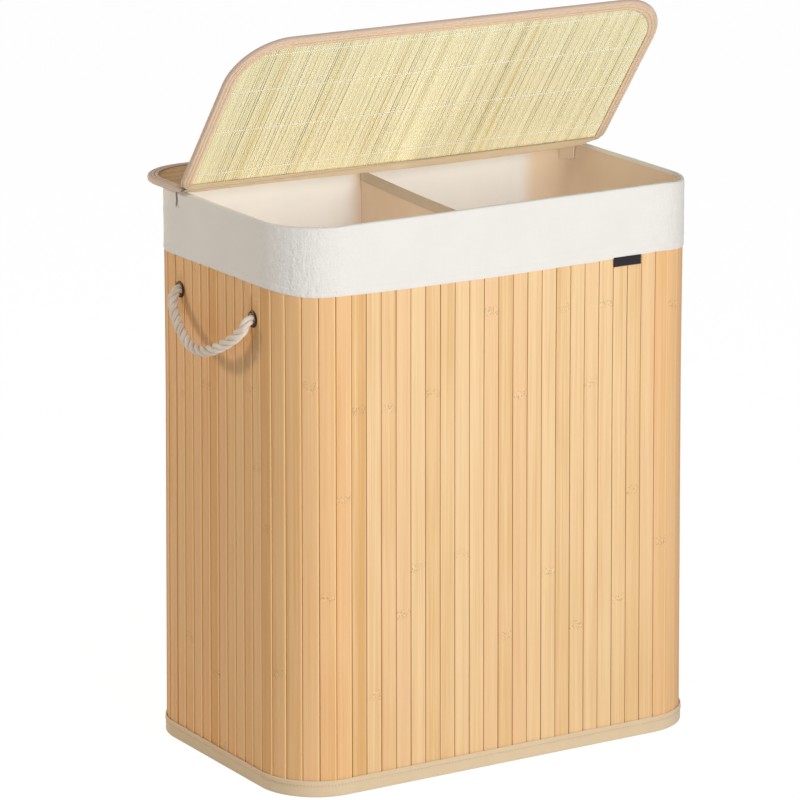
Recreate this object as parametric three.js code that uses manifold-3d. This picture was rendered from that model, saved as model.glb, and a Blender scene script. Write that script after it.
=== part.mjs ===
// Laundry hamper with two bins: a wall of bamboo slats on backing cloth, a sewn liner with a divider,
// a lid that folds across its width and two rope handles.
// Millimetres, +Z up, +X along the long side, -Y towards the front. The origin is the middle of the base.
import * as THREE from 'three';
import { mergeVertices } from 'three/addons/utils/BufferGeometryUtils.js';
import Module from 'manifold-3d';

const wasm = await Module();
wasm.setup();

// Driving dimensions
const bodyLength = 520;
const bodyDepth = 320;
const rimHeight = 620;
const cornerRadius = 65;
const lidEndOverhang = 11;
const lidSideOverhang = 9;
const lidCornerRadius = 63;
const lidSetBack = 7;
const lidRearShare = 1 / 3;
const lidOpenAngle = THREE.MathUtils.degToRad(53);
const fitGap = 0.3;
const overrun = 5;
const cornerSteps = 8;

// Slat wall
const slatPitchAim = 18.2;
const slatGap = 1.1;
const slatThickness = 2.5;
const slatChamfer = 0.6;
const firstSlatShift = 4;
const backingThickness = 0.6;

// Bottom tape, base cloth and base board
const tapeHeight = 18;
const tapeThickness = 1;
const tapeStandoff = 0.8;
const baseClothThickness = 1;
const boardThickness = 3;

// Cuff, liner and divider
const cuffHeight = 74.5;
const cuffInnerHeight = 24;
const cuffThickness = 1.2;
const cuffStandoff = 0.8;
const cuffHemHeight = 7;
const cuffHemStep = 0.4;
const linerThickness = 0.8;
const linerShoulder = 8;
const dividerThickness = 2;
const dividerDrop = 22;
const dividerHemHeight = 12;
const dividerHemThickness = 0.8;
const tabWidth = 25;
const tabThickness = 1.4;
const tabCornerRoom = 1.6;
const tabTurn = THREE.MathUtils.degToRad(7);
const tabTopDrop = 2;

// Support frames behind the liner
const rodRadius = 2;
const rodBendRadius = 24;
const rodTopDrop = 8;
const rodKnotRoom = 2;
const rodSides = 8;
const bendSteps = 5;

// Eyelets, ropes and knots
const eyeletDrop = 108.5;
const eyeletCornerRoom = 17;
const ropeRadius = 5;
const ropeBoreRoom = 0.4;
const barrelWall = 0.6;
const flangeRadius = 8.5;
const flangeThickness = 1;
const flangeRound = 0.4;
const washerRadius = 9.5;
const washerThickness = 0.8;
const knotRadius = 10;
const knotHalfThickness = 6;
const handleTilt = THREE.MathUtils.degToRad(20);
const ropeSides = 8;
const ropeSteps = 14;
const roundSteps = 16;
const knotSteps = 10;
const knotRings = 7;
// The rope's route in its hanging plane: each point is [across, down] from the middle of the eyelet line,
// drawn for eyelets at the first and last point
const ropeRoute = [
  [78, 0], [77.5, 5], [75, 12], [68, 20], [56, 29], [42, 37.5], [27, 44.5], [12, 49], [0, 50],
  [-12, 49], [-27, 44.5], [-42, 37.5], [-56, 29], [-68, 20], [-75, 12], [-77.5, 5], [-78, 0],
];

// Lid parts
const foldGap = 0.4;
const foldTapeWidth = 13;
const foldTapeThickness = 0.6;
const bindingWidth = 12;
const bindingFoldWidth = 5;
const bindingThickness = 0.6;
const lidSlatPitch = 18.2;
const lidSlatThickness = 1.4;
const lidClothThickness = 0.3;
const lidBoardThickness = 1;
const reedPitch = 2.8;
const reedMatThickness = 1.2;
const reedGroove = 0.5;
const tieWidth = 2.4;
const tieLength = 17;
const tieThickness = 0.9;
const tieBehindFold = 18;

// Blank tag under the front of the cuff
const tagWidth = 35;
const tagHeight = 10.5;
const tagThickness = 0.8;
const tagCornerRoom = 21.5;

// Lid's size and the eyelets' distance from the middle of their side
const lidLength = bodyLength + 2 * lidEndOverhang;
const lidDepth = bodyDepth + 2 * lidSideOverhang;
const eyeletOut = bodyDepth / 2 - cornerRadius - eyeletCornerRoom;

// Depths counted inwards from the outer face of the slats
const backingInner = slatThickness + backingThickness;
const innerLegOuter = backingInner + fitGap;
const cuffInnerFace = innerLegOuter + cuffThickness;
const linerOuter = backingInner + 2 * fitGap + 2 * rodRadius;
const linerInner = linerOuter + linerThickness;
const outerLegInner = -cuffStandoff;
const cuffFace = -(cuffStandoff + cuffThickness);
const tapeFace = -(tapeStandoff + tapeThickness);
const tapeInnerFace = innerLegOuter + tapeThickness;

// Heights
const slatFoot = tapeThickness + fitGap;
const slatTop = rimHeight - cuffThickness - fitGap;
const boardFoot = baseClothThickness + fitGap;
const boardTop = boardFoot + boardThickness;
const linerFoot = boardTop + fitGap;
const linerFloor = linerFoot + linerThickness;
const cuffFoot = rimHeight - cuffHeight;
const cuffInnerFoot = rimHeight - cuffInnerHeight;
const linerTop = cuffInnerFoot - fitGap;
const eyeletHeight = rimHeight - eyeletDrop;
const dividerTop = rimHeight - dividerDrop;

// Closed shapes

function roundedRing(inset) {
  const radius = cornerRadius - inset;
  const middleX = bodyLength / 2 - cornerRadius;
  const middleY = bodyDepth / 2 - cornerRadius;
  const points = [];
  for (let corner = 0; corner < 4; corner += 1) {
    const signX = corner === 0 || corner === 3 ? 1 : -1;
    const signY = corner < 2 ? 1 : -1;
    for (let step = 0; step <= cornerSteps; step += 1) {
      const angle = (corner + step / cornerSteps) * Math.PI / 2;
      const x = signX * middleX + radius * Math.cos(angle);
      const y = signY * middleY + radius * Math.sin(angle);
      points.push(new THREE.Vector2(x, y));
    }
  }
  return points;
}

function closedGeometry(positions, index) {
  const geometry = new THREE.BufferGeometry();
  geometry.setAttribute('position', new THREE.Float32BufferAttribute(positions, 3));
  geometry.setIndex(index);
  return geometry;
}

function ringPoints([inset, height]) {
  return roundedRing(inset).map(({ x, y }) => [x, y, height]);
}

// The faces between two rings, given the number of each one's first point
function facesBetween(low, high, count) {
  return Array.from({ length: count }, (_, column) => {
    const beside = (column + 1) % count;
    return [low + column, low + beside, high + beside, low + column, high + beside, high + column];
  }).flat();
}

// A band round the body. The profile is a closed loop of [inset, height], up the outside first.
function bandAround(profile) {
  const rings = profile.map(ringPoints);
  const count = rings[0].length;
  const index = rings.flatMap((_, row) => {
    const next = (row + 1) % rings.length;
    return facesBetween(row * count, next * count, count);
  });
  return closedGeometry(rings.flat(2), index);
}

// A bag round the body: like a band, but the profile starts and ends with a flat floor.
function bagAround(profile) {
  const rings = profile.map(ringPoints);
  const count = rings[0].length;
  const index = rings.slice(1).flatMap((_, row) => facesBetween(row * count, (row + 1) * count, count));
  const last = (rings.length - 1) * count;
  for (let column = 1; column + 1 < count; column += 1) {
    index.push(0, column + 1, column);
    index.push(last, last + column, last + column + 1);
  }
  return closedGeometry(rings.flat(2), index);
}

function slab(points, bottom, thickness) {
  const settings = { depth: thickness, bevelEnabled: false };
  return new THREE.ExtrudeGeometry(new THREE.Shape(points), settings).translate(0, 0, bottom);
}

function box(lowX, highX, lowY, highY, lowZ, highZ) {
  const geometry = new THREE.BoxGeometry(highX - lowX, highY - lowY, highZ - lowZ);
  return geometry.translate((lowX + highX) / 2, (lowY + highY) / 2, (lowZ + highZ) / 2);
}

// A turned piece whose axis lies along X. The profile is a closed loop of [radius, x].
function turnedAlongX(profile, steps) {
  const points = profile.map(([radius, x]) => new THREE.Vector2(radius, x));
  points.push(points[0].clone());
  return new THREE.LatheGeometry(points, steps).rotateZ(-Math.PI / 2);
}

function tubeAlong(curve, radius, sides, steps) {
  const section = [];
  for (let side = 0; side < sides; side += 1) {
    const angle = side / sides * 2 * Math.PI;
    section.push(new THREE.Vector2(radius * Math.cos(angle), radius * Math.sin(angle)));
  }
  return new THREE.ExtrudeGeometry(new THREE.Shape(section), { steps, extrudePath: curve });
}

function barAlongX(radius, length, x, y, z) {
  const bar = new THREE.CylinderGeometry(radius, radius, length, roundSteps);
  return bar.rotateZ(Math.PI / 2).translate(x, y, z);
}

// Cutting and joining

function toSolid(geometry) {
  const bare = geometry.clone();
  bare.deleteAttribute('normal');
  bare.deleteAttribute('uv');
  const merged = mergeVertices(bare);
  const vertProperties = new Float32Array(merged.attributes.position.array);
  const triVerts = new Uint32Array(merged.index.array);
  return new wasm.Manifold(new wasm.Mesh({ numProp: 3, vertProperties, triVerts }));
}

function toGeometry(solid) {
  const mesh = solid.getMesh();
  return closedGeometry(Array.from(mesh.vertProperties), Array.from(mesh.triVerts));
}

function subtract(geometry, ...cutters) {
  const solid = cutters.reduce((rest, cutter) => rest.subtract(toSolid(cutter)), toSolid(geometry));
  return toGeometry(solid);
}

function join(geometry, ...others) {
  const solid = others.reduce((sum, other) => sum.add(toSolid(other)), toSolid(geometry));
  return toGeometry(solid);
}

function keepInside(geometry, limit) {
  return toGeometry(toSolid(geometry).intersect(toSolid(limit)));
}

// Materials

function material(color, roughness, metalness = 0) {
  return new THREE.MeshStandardMaterial({ color, roughness, metalness });
}

const bamboo = material(0xe8bf85, 0.45);
const reed = material(0xe4d29a, 0.6);
const linen = material(0xefeae2, 0.9);
const linerCloth = material(0xdccfb8, 0.9);
const binding = material(0xcdb08a, 0.85);
const tapeCloth = material(0xdcc39c, 0.85);
const backingCloth = material(0x6e4f2e, 0.9);
const boardSurface = material(0xb99a6b, 0.7);
const steel = material(0x8d8f92, 0.35, 0.9);
const bronze = material(0x4a3626, 0.35, 0.8);
const cotton = material(0xd8cdbb, 0.9);
const black = material(0x26242a, 0.7);

const hamper = new THREE.Group();

function addPiece(name, geometry, surface, parent = hamper) {
  const mesh = new THREE.Mesh(geometry, surface.clone());
  mesh.name = name;
  parent.add(mesh);
  return mesh;
}

// Slat wall: the wall line runs round the body from the left end of the front flat, against the clock
// seen from above. Each stretch of it is one mat of slats on its backing cloth, with a slit between mats.

const flatX = bodyLength - 2 * cornerRadius;
const flatY = bodyDepth - 2 * cornerRadius;
const arcLength = Math.PI / 2 * cornerRadius;
const wallStretches = [
  { name: 'wall_front', length: flatX },
  { name: 'wall_corner_front_right', length: arcLength, turns: true },
  { name: 'wall_right', length: flatY },
  { name: 'wall_corner_rear_right', length: arcLength, turns: true },
  { name: 'wall_rear', length: flatX },
  { name: 'wall_corner_rear_left', length: arcLength, turns: true },
  { name: 'wall_left', length: flatY },
  { name: 'wall_corner_front_left', length: arcLength, turns: true },
];
const wallLength = 2 * (flatX + flatY) + 4 * arcLength;
const slatCount = Math.round(wallLength / slatPitchAim);
const slatPitch = wallLength / slatCount;

function placeOnWall(distance) {
  const origin = new THREE.Vector2(0, 0);
  const heading = new THREE.Vector2(1, 0);
  const place = new THREE.Vector2(-flatX / 2, -bodyDepth / 2);
  let rest = distance;
  for (const stretch of wallStretches) {
    const run = Math.min(rest, stretch.length);
    if (stretch.turns) {
      const turn = run / cornerRadius;
      const middle = new THREE.Vector2(-heading.y, heading.x).multiplyScalar(cornerRadius).add(place);
      place.sub(middle).rotateAround(origin, turn).add(middle);
      heading.rotateAround(origin, turn);
    } else {
      place.addScaledVector(heading, run);
    }
    rest -= run;
    if (rest <= 0) {
      return { place, heading, name: stretch.name };
    }
  }
  return { place, heading, name: wallStretches[0].name };
}

// A point of a slat's section: along the wall from the slat's middle, and inwards from its face
function slatPoint(slat, along, inwards) {
  const across = new THREE.Vector2(-slat.heading.y, slat.heading.x);
  return slat.place.clone().addScaledVector(slat.heading, along).addScaledVector(across, inwards);
}

function matOutline(slats) {
  const half = (slatPitch - slatGap) / 2;
  const end = (slatPitch - fitGap) / 2;
  const last = slats[slats.length - 1];
  const face = slats.flatMap((slat) => [
    slatPoint(slat, -half, slatThickness),
    slatPoint(slat, -half, slatChamfer),
    slatPoint(slat, -half + slatChamfer, 0),
    slatPoint(slat, half - slatChamfer, 0),
    slatPoint(slat, half, slatChamfer),
    slatPoint(slat, half, slatThickness),
  ]);
  const back = slats.flatMap((slat) => [
    slatPoint(slat, -half, backingInner),
    slatPoint(slat, half, backingInner),
  ]);
  return [
    slatPoint(slats[0], -end, slatThickness), ...face, slatPoint(last, end, slatThickness),
    slatPoint(last, end, backingInner), ...back.reverse(), slatPoint(slats[0], -end, backingInner),
  ];
}

const barrelRadius = ropeRadius + ropeBoreRoom + barrelWall;
const corners = [-1, 1].flatMap((signX) => [-1, 1].map((signY) => [signX, signY]));

function eyeletHole([signX, signY]) {
  const length = backingInner + 2 * overrun;
  const middle = signX * (bodyLength / 2 - backingInner / 2);
  return barAlongX(barrelRadius + fitGap, length, middle, signY * eyeletOut, eyeletHeight);
}

function addSlatWall() {
  const mats = new Map(wallStretches.map((stretch) => [stretch.name, []]));
  for (let number = 0; number < slatCount; number += 1) {
    const slat = placeOnWall((number + 1) * slatPitch - firstSlatShift);
    mats.get(slat.name).push(slat);
  }
  const holes = corners.map(eyeletHole);
  mats.forEach((slats, name) => {
    addPiece(name, subtract(slab(matOutline(slats), slatFoot, slatTop - slatFoot), ...holes), bamboo);
  });
}

// Base

function addBase() {
  addPiece('bottom_tape', bandAround([
    [tapeFace, 0],
    [tapeFace, tapeHeight],
    [-tapeStandoff, tapeHeight],
    [-tapeStandoff, tapeThickness],
    [innerLegOuter, tapeThickness],
    [innerLegOuter, boardTop],
    [tapeInnerFace, boardTop],
    [tapeInnerFace, 0],
  ]), tapeCloth);
  const baseEdge = tapeInnerFace + fitGap;
  addPiece('base_cloth', slab(roundedRing(baseEdge), 0, baseClothThickness), linen);
  addPiece('base_board', slab(roundedRing(baseEdge), boardFoot, boardThickness), boardSurface);
}

// Cuff, liner, divider and tabs

const knotMiddle = bodyLength / 2 - backingInner - fitGap - washerThickness - fitGap - knotHalfThickness;

function knotGeometry(signX, signY, room) {
  const geometry = new THREE.SphereGeometry(1, knotSteps, knotRings);
  geometry.scale(knotHalfThickness + room, knotRadius + room, knotRadius + room);
  return geometry.translate(signX * knotMiddle, signY * eyeletOut, eyeletHeight);
}

function linerGeometry() {
  const outside = bagAround([
    [linerOuter, linerFoot],
    [linerOuter, linerTop - linerShoulder],
    [cuffInnerFace - linerThickness, linerTop],
  ]);
  const inside = bagAround([
    [linerInner, linerFloor],
    [linerInner, linerTop - linerShoulder],
    [cuffInnerFace, linerTop],
    [cuffInnerFace, linerTop + overrun],
  ]);
  const hollows = corners.map(([signX, signY]) => knotGeometry(signX, signY, fitGap));
  const covers = corners.map(([signX, signY]) => knotGeometry(signX, signY, fitGap + linerThickness));
  return subtract(outside, subtract(inside, ...covers), ...hollows);
}

function addCloth() {
  addPiece('cuff', bandAround([
    [cuffFace - cuffHemStep, cuffFoot],
    [cuffFace - cuffHemStep, cuffFoot + cuffHemHeight],
    [cuffFace, cuffFoot + cuffHemHeight],
    [cuffFace, rimHeight - cuffThickness],
    [cuffFace + cuffThickness, rimHeight],
    [cuffInnerFace - cuffThickness, rimHeight],
    [cuffInnerFace, rimHeight - cuffThickness],
    [cuffInnerFace, cuffInnerFoot],
    [innerLegOuter, cuffInnerFoot],
    [innerLegOuter, rimHeight - cuffThickness],
    [outerLegInner, rimHeight - cuffThickness],
    [outerLegInner, cuffFoot],
  ]), linen);
  addPiece('liner', linerGeometry(), linerCloth);
}

function addDivider() {
  const half = bodyDepth / 2 - linerInner - fitGap;
  const foot = linerFloor + fitGap;
  const halfSheet = dividerThickness / 2;
  const sheetTop = dividerTop - dividerHemThickness - fitGap;
  addPiece('divider', box(-halfSheet, halfSheet, -half, half, foot, sheetTop), linerCloth);
  const hemInner = halfSheet + fitGap;
  const hemOuter = hemInner + dividerHemThickness;
  const hemFoot = dividerTop - dividerHemHeight;
  const hem = new THREE.Shape([
    new THREE.Vector2(-hemOuter, hemFoot),
    new THREE.Vector2(-hemInner, hemFoot),
    new THREE.Vector2(-hemInner, dividerTop - dividerHemThickness),
    new THREE.Vector2(hemInner, dividerTop - dividerHemThickness),
    new THREE.Vector2(hemInner, hemFoot),
    new THREE.Vector2(hemOuter, hemFoot),
    new THREE.Vector2(hemOuter, dividerTop),
    new THREE.Vector2(-hemOuter, dividerTop),
  ]);
  const strip = new THREE.ExtrudeGeometry(hem, { depth: 2 * half, bevelEnabled: false });
  addPiece('divider_hem', strip.rotateX(Math.PI / 2).translate(0, half, 0), binding);
}

// Support frames: each is a rod bent to an upturned U, which stands behind the liner with its legs just
// past the rope knots and keeps the front and the rear of the rim apart

const legPlace = eyeletOut + knotRadius + rodKnotRoom + rodRadius;

// The frame's curve gives each straight one step and each bend bendSteps of them
class FrameCurve extends THREE.Curve {
  constructor() {
    super();
    const foot = boardTop + fitGap;
    const top = linerTop - linerShoulder - rodTopDrop - rodRadius;
    const bend = (signY, step) => {
      const angle = step / bendSteps * Math.PI / 2;
      const across = legPlace - rodBendRadius + rodBendRadius * Math.sin(angle);
      return new THREE.Vector3(0, signY * across, top - rodBendRadius + rodBendRadius * Math.cos(angle));
    };
    const steps = Array.from({ length: bendSteps + 1 }, (_, step) => step);
    this.points = [
      new THREE.Vector3(0, -legPlace, foot),
      ...steps.map((step) => bend(-1, bendSteps - step)),
      ...steps.map((step) => bend(1, step)),
      new THREE.Vector3(0, legPlace, foot),
    ];
  }

  getPoint(share, target = new THREE.Vector3()) {
    const place = share * (this.points.length - 1);
    const first = Math.min(Math.floor(place), this.points.length - 2);
    return target.lerpVectors(this.points[first], this.points[first + 1], place - first);
  }

  getUtoTmapping(share) {
    return share;
  }
}

function addSupportFrame(name, signX) {
  const curve = new FrameCurve();
  const frame = tubeAlong(curve, rodRadius, rodSides, curve.points.length - 1);
  const place = signX * (bodyLength / 2 - backingInner - fitGap - rodRadius);
  addPiece(name, frame.translate(place, 0, 0), steel);
}

// Liner tabs: each lies across the start of a rear corner, inside the cuff

function addLinerTab(side, signX) {
  const reach = cornerRadius - cuffInnerFace - tabCornerRoom - tabThickness;
  const top = rimHeight - tabTopDrop;
  const tab = box(reach, reach + tabThickness, -tabWidth / 2, tabWidth / 2, cuffInnerFoot, top);
  tab.rotateZ(signX > 0 ? tabTurn : Math.PI - tabTurn);
  addPiece(`liner_tab_${side}`, tab.translate(signX * flatX / 2, flatY / 2, 0), binding);
}

// Rope handles, drawn on the left side. The right side is the same set turned half round.

const endNames = new Map([[-1, 'front'], [1, 'rear']]);
const pivotOut = bodyLength / 2 + fitGap + flangeThickness + fitGap + ropeRadius;

function eyeletGeometry() {
  const bore = ropeRadius + ropeBoreRoom;
  const back = -bodyLength / 2 - fitGap;
  const face = back - flangeThickness;
  const inner = -(bodyLength / 2 - backingInner - fitGap - washerThickness);
  return turnedAlongX([
    [bore, inner],
    [bore, face + flangeRound],
    [bore + flangeRound, face],
    [flangeRadius - flangeRound, face],
    [flangeRadius, face + flangeRound],
    [flangeRadius, back],
    [barrelRadius, back],
    [barrelRadius, inner],
  ], roundSteps);
}

function washerGeometry() {
  const outer = -(bodyLength / 2 - backingInner - fitGap);
  const inner = outer + washerThickness;
  return turnedAlongX([
    [barrelRadius + fitGap, inner],
    [barrelRadius + fitGap, outer],
    [washerRadius, outer],
    [washerRadius, inner],
  ], roundSteps);
}

function ropeEndGeometry(signY) {
  const face = bodyLength / 2 + fitGap + flangeThickness;
  const middle = -(face + knotMiddle) / 2;
  const rope = barAlongX(ropeRadius, face - knotMiddle, middle, signY * eyeletOut, eyeletHeight);
  return join(knotGeometry(-1, signY, 0), rope);
}

function handleGeometry() {
  const [drawnOut] = ropeRoute[0];
  const points = ropeRoute.map(([across, down]) => new THREE.Vector3(
    -pivotOut - down * Math.sin(handleTilt),
    across * eyeletOut / drawnOut,
    eyeletHeight - down * Math.cos(handleTilt),
  ));
  const rope = tubeAlong(new THREE.CatmullRomCurve3(points), ropeRadius, ropeSides, ropeSteps);
  const ends = [points[0], points[points.length - 1]].map((end) => {
    const ball = new THREE.SphereGeometry(ropeRadius - ropeBoreRoom, ropeSides, ropeSides);
    return ball.translate(end.x, end.y, end.z);
  });
  return join(rope, ...ends);
}

function addHandleSet(side) {
  const turned = side === 'right';
  const set = new THREE.Group();
  set.rotation.z = turned ? Math.PI : 0;
  hamper.add(set);
  for (const signY of [-1, 1]) {
    const end = endNames.get(turned ? -signY : signY);
    const eyelet = addPiece(`eyelet_${side}_${end}`, eyeletGeometry(), bronze, set);
    eyelet.position.set(0, signY * eyeletOut, eyeletHeight);
    const washer = addPiece(`eyelet_washer_${side}_${end}`, washerGeometry(), steel, set);
    washer.position.copy(eyelet.position);
    addPiece(`rope_end_${side}_${end}`, ropeEndGeometry(signY), cotton, set);
  }
  addPiece(`handle_rope_${side}`, handleGeometry(), cotton, set);
}

// Lid: both parts are drawn in front of the fold line with their top face on it, free edge towards -Y

const foldPlace = lidSetBack + lidDepth / 2 - lidDepth * lidRearShare;
const bindingTop = -foldTapeThickness - fitGap;
const lidSlatTop = bindingTop - bindingThickness - fitGap;
const lidBoardTop = lidSlatTop - lidSlatThickness - fitGap;
const reedMatTop = lidBoardTop - lidBoardThickness - fitGap;
const reedMatFoot = reedMatTop - reedMatThickness;
const bindingFoot = reedMatFoot - fitGap - bindingThickness;
const lidTop = rimHeight + fitGap - bindingFoot;

function lidOutline(depth, inset, foldInset = inset) {
  const half = lidLength / 2 - inset;
  const radius = lidCornerRadius - inset;
  const fold = -foldGap - foldInset;
  const points = [new THREE.Vector2(half, fold), new THREE.Vector2(-half, fold)];
  for (const sign of [-1, 1]) {
    for (let step = 0; step <= cornerSteps; step += 1) {
      const angle = Math.PI + (sign < 0 ? step : cornerSteps + step) / cornerSteps * Math.PI / 2;
      const x = sign * (half - radius) + radius * Math.cos(angle);
      const y = -depth + inset + radius + radius * Math.sin(angle);
      points.push(new THREE.Vector2(x, y));
    }
  }
  return points;
}

// Both mats of the lid are profiles drawn across it and cut to its outline

function lidSlatsGeometry(depth, limit) {
  const room = depth - foldGap - 2 * (bindingThickness + fitGap);
  const count = Math.floor((room + slatGap) / lidSlatPitch);
  const width = lidSlatPitch - slatGap;
  const start = (depth + foldGap - count * lidSlatPitch) / 2;
  const back = lidSlatTop - lidSlatThickness;
  const points = [new THREE.Vector2(depth, back), new THREE.Vector2(0, back)];
  points.push(new THREE.Vector2(0, back + lidClothThickness));
  for (let number = 0; number < count; number += 1) {
    const near = start + number * lidSlatPitch + slatGap / 2;
    points.push(new THREE.Vector2(near, back + lidClothThickness));
    points.push(new THREE.Vector2(near, lidSlatTop));
    points.push(new THREE.Vector2(near + width, lidSlatTop));
    points.push(new THREE.Vector2(near + width, back + lidClothThickness));
  }
  points.push(new THREE.Vector2(depth, back + lidClothThickness));
  const mat = new THREE.ExtrudeGeometry(new THREE.Shape(points), { depth: lidLength, bevelEnabled: false });
  mat.rotateX(Math.PI / 2).rotateZ(-Math.PI / 2).translate(lidLength / 2, 0, 0);
  return keepInside(mat, limit);
}

function reedMatGeometry(depth, limit) {
  const count = Math.ceil(lidLength / reedPitch);
  const start = -count * reedPitch / 2;
  const points = [new THREE.Vector2(-start, reedMatTop), new THREE.Vector2(start, reedMatTop)];
  for (let number = 0; number < count; number += 1) {
    points.push(new THREE.Vector2(start + number * reedPitch, reedMatFoot + reedGroove));
    points.push(new THREE.Vector2(start + (number + 1 / 2) * reedPitch, reedMatFoot));
  }
  points.push(new THREE.Vector2(-start, reedMatFoot + reedGroove));
  const mat = new THREE.ExtrudeGeometry(new THREE.Shape(points), { depth, bevelEnabled: false });
  return keepInside(mat.rotateX(Math.PI / 2), limit);
}

function bindingGeometry(depth) {
  const height = bindingTop - bindingFoot;
  const block = slab(lidOutline(depth, 0), bindingFoot, height);
  const pocketHeight = height - 2 * bindingThickness;
  const pocket = slab(lidOutline(depth, bindingThickness), bindingFoot + bindingThickness, pocketHeight);
  const windowOutline = lidOutline(depth, bindingWidth, bindingFoldWidth);
  const window = slab(windowOutline, bindingFoot - overrun, height + 2 * overrun);
  return subtract(block, pocket, window);
}

function addLidPart(part, depth, group) {
  const contentEdge = bindingThickness + fitGap;
  const limit = slab(lidOutline(depth, contentEdge), bindingFoot, bindingTop - bindingFoot);
  const boardFootHeight = lidBoardTop - lidBoardThickness;
  const board = slab(lidOutline(depth, contentEdge), boardFootHeight, lidBoardThickness);
  addPiece(`lid_${part}_slats`, lidSlatsGeometry(depth, limit), bamboo, group);
  addPiece(`lid_${part}_board`, board, boardSurface, group);
  addPiece(`lid_${part}_reed_mat`, reedMatGeometry(depth, limit), reed, group);
  addPiece(`lid_${part}_binding`, bindingGeometry(depth), binding, group);
  const half = lidLength / 2;
  const tape = box(-half, half, -foldTapeWidth, -foldGap, -foldTapeThickness, 0);
  addPiece(`lid_${part}_fold_tape`, tape, binding, group);
}

function addLid() {
  const rear = new THREE.Group();
  rear.position.set(0, foldPlace, lidTop);
  rear.rotation.z = Math.PI;
  hamper.add(rear);
  addLidPart('rear', lidDepth * lidRearShare, rear);
  const front = new THREE.Group();
  front.position.set(0, foldPlace, lidTop);
  front.rotation.x = -lidOpenAngle;
  hamper.add(front);
  addLidPart('front', lidDepth * (1 - lidRearShare), front);
}

// Ties hang from the rear part's edge onto the cuff's sides; the tag hangs from the cuff's hem

function addTies() {
  const middle = foldPlace + tieBehindFold;
  for (const [side, sign] of [['left', -1], ['right', 1]]) {
    const near = sign * (bodyLength / 2 - cuffFace + fitGap);
    const far = near + sign * tieThickness;
    addPiece(`lid_tie_${side}`, box(
      Math.min(near, far), Math.max(near, far),
      middle - tieWidth / 2, middle + tieWidth / 2,
      rimHeight - tieLength, rimHeight,
    ), backingCloth);
  }
}

function addTag() {
  const top = cuffFoot - fitGap;
  const back = -bodyDepth / 2 + cuffFace + tagThickness;
  const right = bodyLength / 2 - cornerRadius - tagCornerRoom;
  addPiece('blank_tag', box(
    right - tagWidth, right,
    back - tagThickness, back,
    top - tagHeight, top,
  ), black);
}

addSlatWall();
addBase();
addCloth();
addDivider();
addSupportFrame('support_frame_left', -1);
addSupportFrame('support_frame_right', 1);
addLinerTab('left', -1);
addLinerTab('right', 1);
addHandleSet('left');
addHandleSet('right');
addLid();
addTies();
addTag();

export default hamper;
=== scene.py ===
# %% [markdown]
# # A laundry hamper with two bins
#
# The hamper is a tall body of vertical bamboo slats on a backing cloth, with a linen cuff turned over the rim,
# a cloth liner that a divider splits into two bins, a lid that folds across its width and two rope handles.
# This notebook dresses the fixed frame of plain solids with fine pieces and finishes.
# Everything is in metres: +X along the long side, -Y towards the front, +Z up.

# %% Load the frame
import math
import random

import bmesh
import bpy
from mathutils import Matrix, Vector, noise


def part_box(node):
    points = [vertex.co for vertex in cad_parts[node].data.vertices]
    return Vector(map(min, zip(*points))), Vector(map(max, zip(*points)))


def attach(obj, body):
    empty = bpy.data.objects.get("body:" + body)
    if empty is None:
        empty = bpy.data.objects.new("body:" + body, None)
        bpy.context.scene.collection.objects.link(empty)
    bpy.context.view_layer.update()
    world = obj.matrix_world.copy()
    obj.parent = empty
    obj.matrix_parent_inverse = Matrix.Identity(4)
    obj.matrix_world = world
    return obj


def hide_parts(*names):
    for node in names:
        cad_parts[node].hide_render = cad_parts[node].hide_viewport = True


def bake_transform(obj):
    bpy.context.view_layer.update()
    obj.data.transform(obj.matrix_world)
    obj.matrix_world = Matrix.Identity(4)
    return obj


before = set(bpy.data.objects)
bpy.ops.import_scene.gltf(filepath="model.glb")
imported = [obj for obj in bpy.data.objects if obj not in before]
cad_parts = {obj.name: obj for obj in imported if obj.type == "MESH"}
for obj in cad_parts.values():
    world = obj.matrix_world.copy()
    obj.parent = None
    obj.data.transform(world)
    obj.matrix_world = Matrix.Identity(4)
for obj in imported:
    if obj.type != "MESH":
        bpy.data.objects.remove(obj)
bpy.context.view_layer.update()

# %% [markdown]
# ## Sizes taken from the frame
#
# A fine piece has to sit where its plain solid sits, so the main sizes are read from the solids' boxes.
# Only what a box can't tell, such as a corner radius or the pitch of the slats, is written here.

# %% Sizes
front_low, front_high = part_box("wall_front")
right_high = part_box("wall_right")[1]
cuff_low, cuff_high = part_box("cuff")
tape_low, tape_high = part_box("bottom_tape")
body_length = 2 * right_high.x
body_depth = -2 * front_low.y
corner_radius = 0.065
rim_height = cuff_high.z
slat_foot = front_low.z
slat_top = front_high.z
slat_count = 86
slat_gap = 0.0009
slat_thickness = 0.0025
slat_edge = 0.0006
slat_cuts = 7
first_slat_shift = 0.0032
slat_turn = math.radians(2.6)
lid_open_angle = math.radians(53)
lid_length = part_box("lid_rear_binding")[1].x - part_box("lid_rear_binding")[0].x
lid_rear_depth = 0.338 / 3
lid_front_depth = 2 * lid_rear_depth
lid_corner_radius = 0.063
fold_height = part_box("lid_rear_fold_tape")[1].z
fold_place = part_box("lid_rear_fold_tape")[0].y - 0.0004
eyelet_out = 0.078
eyelet_height = 0.5115
eyelet_places = [(side, end) for side in (-1, 1) for end in (-1, 1)]
side_names = {-1: "left", 1: "right"}
end_names = {-1: "front", 1: "rear"}
print(f"body {body_length:.3f} x {body_depth:.3f}, rim at {rim_height:.3f}, lid {lid_length:.3f} long")
print(f"fold line at y {fold_place:.4f}, z {fold_height:.4f}")

# %% [markdown]
# ## The camera
#
# A product picture is taken from far away with a long lens, so that upright edges stay nearly parallel.
# The camera looks from the front left and a little above. Its place is worked out from the angles at which
# it sees the middle of the hamper, instead of being dragged about by hand.

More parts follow.
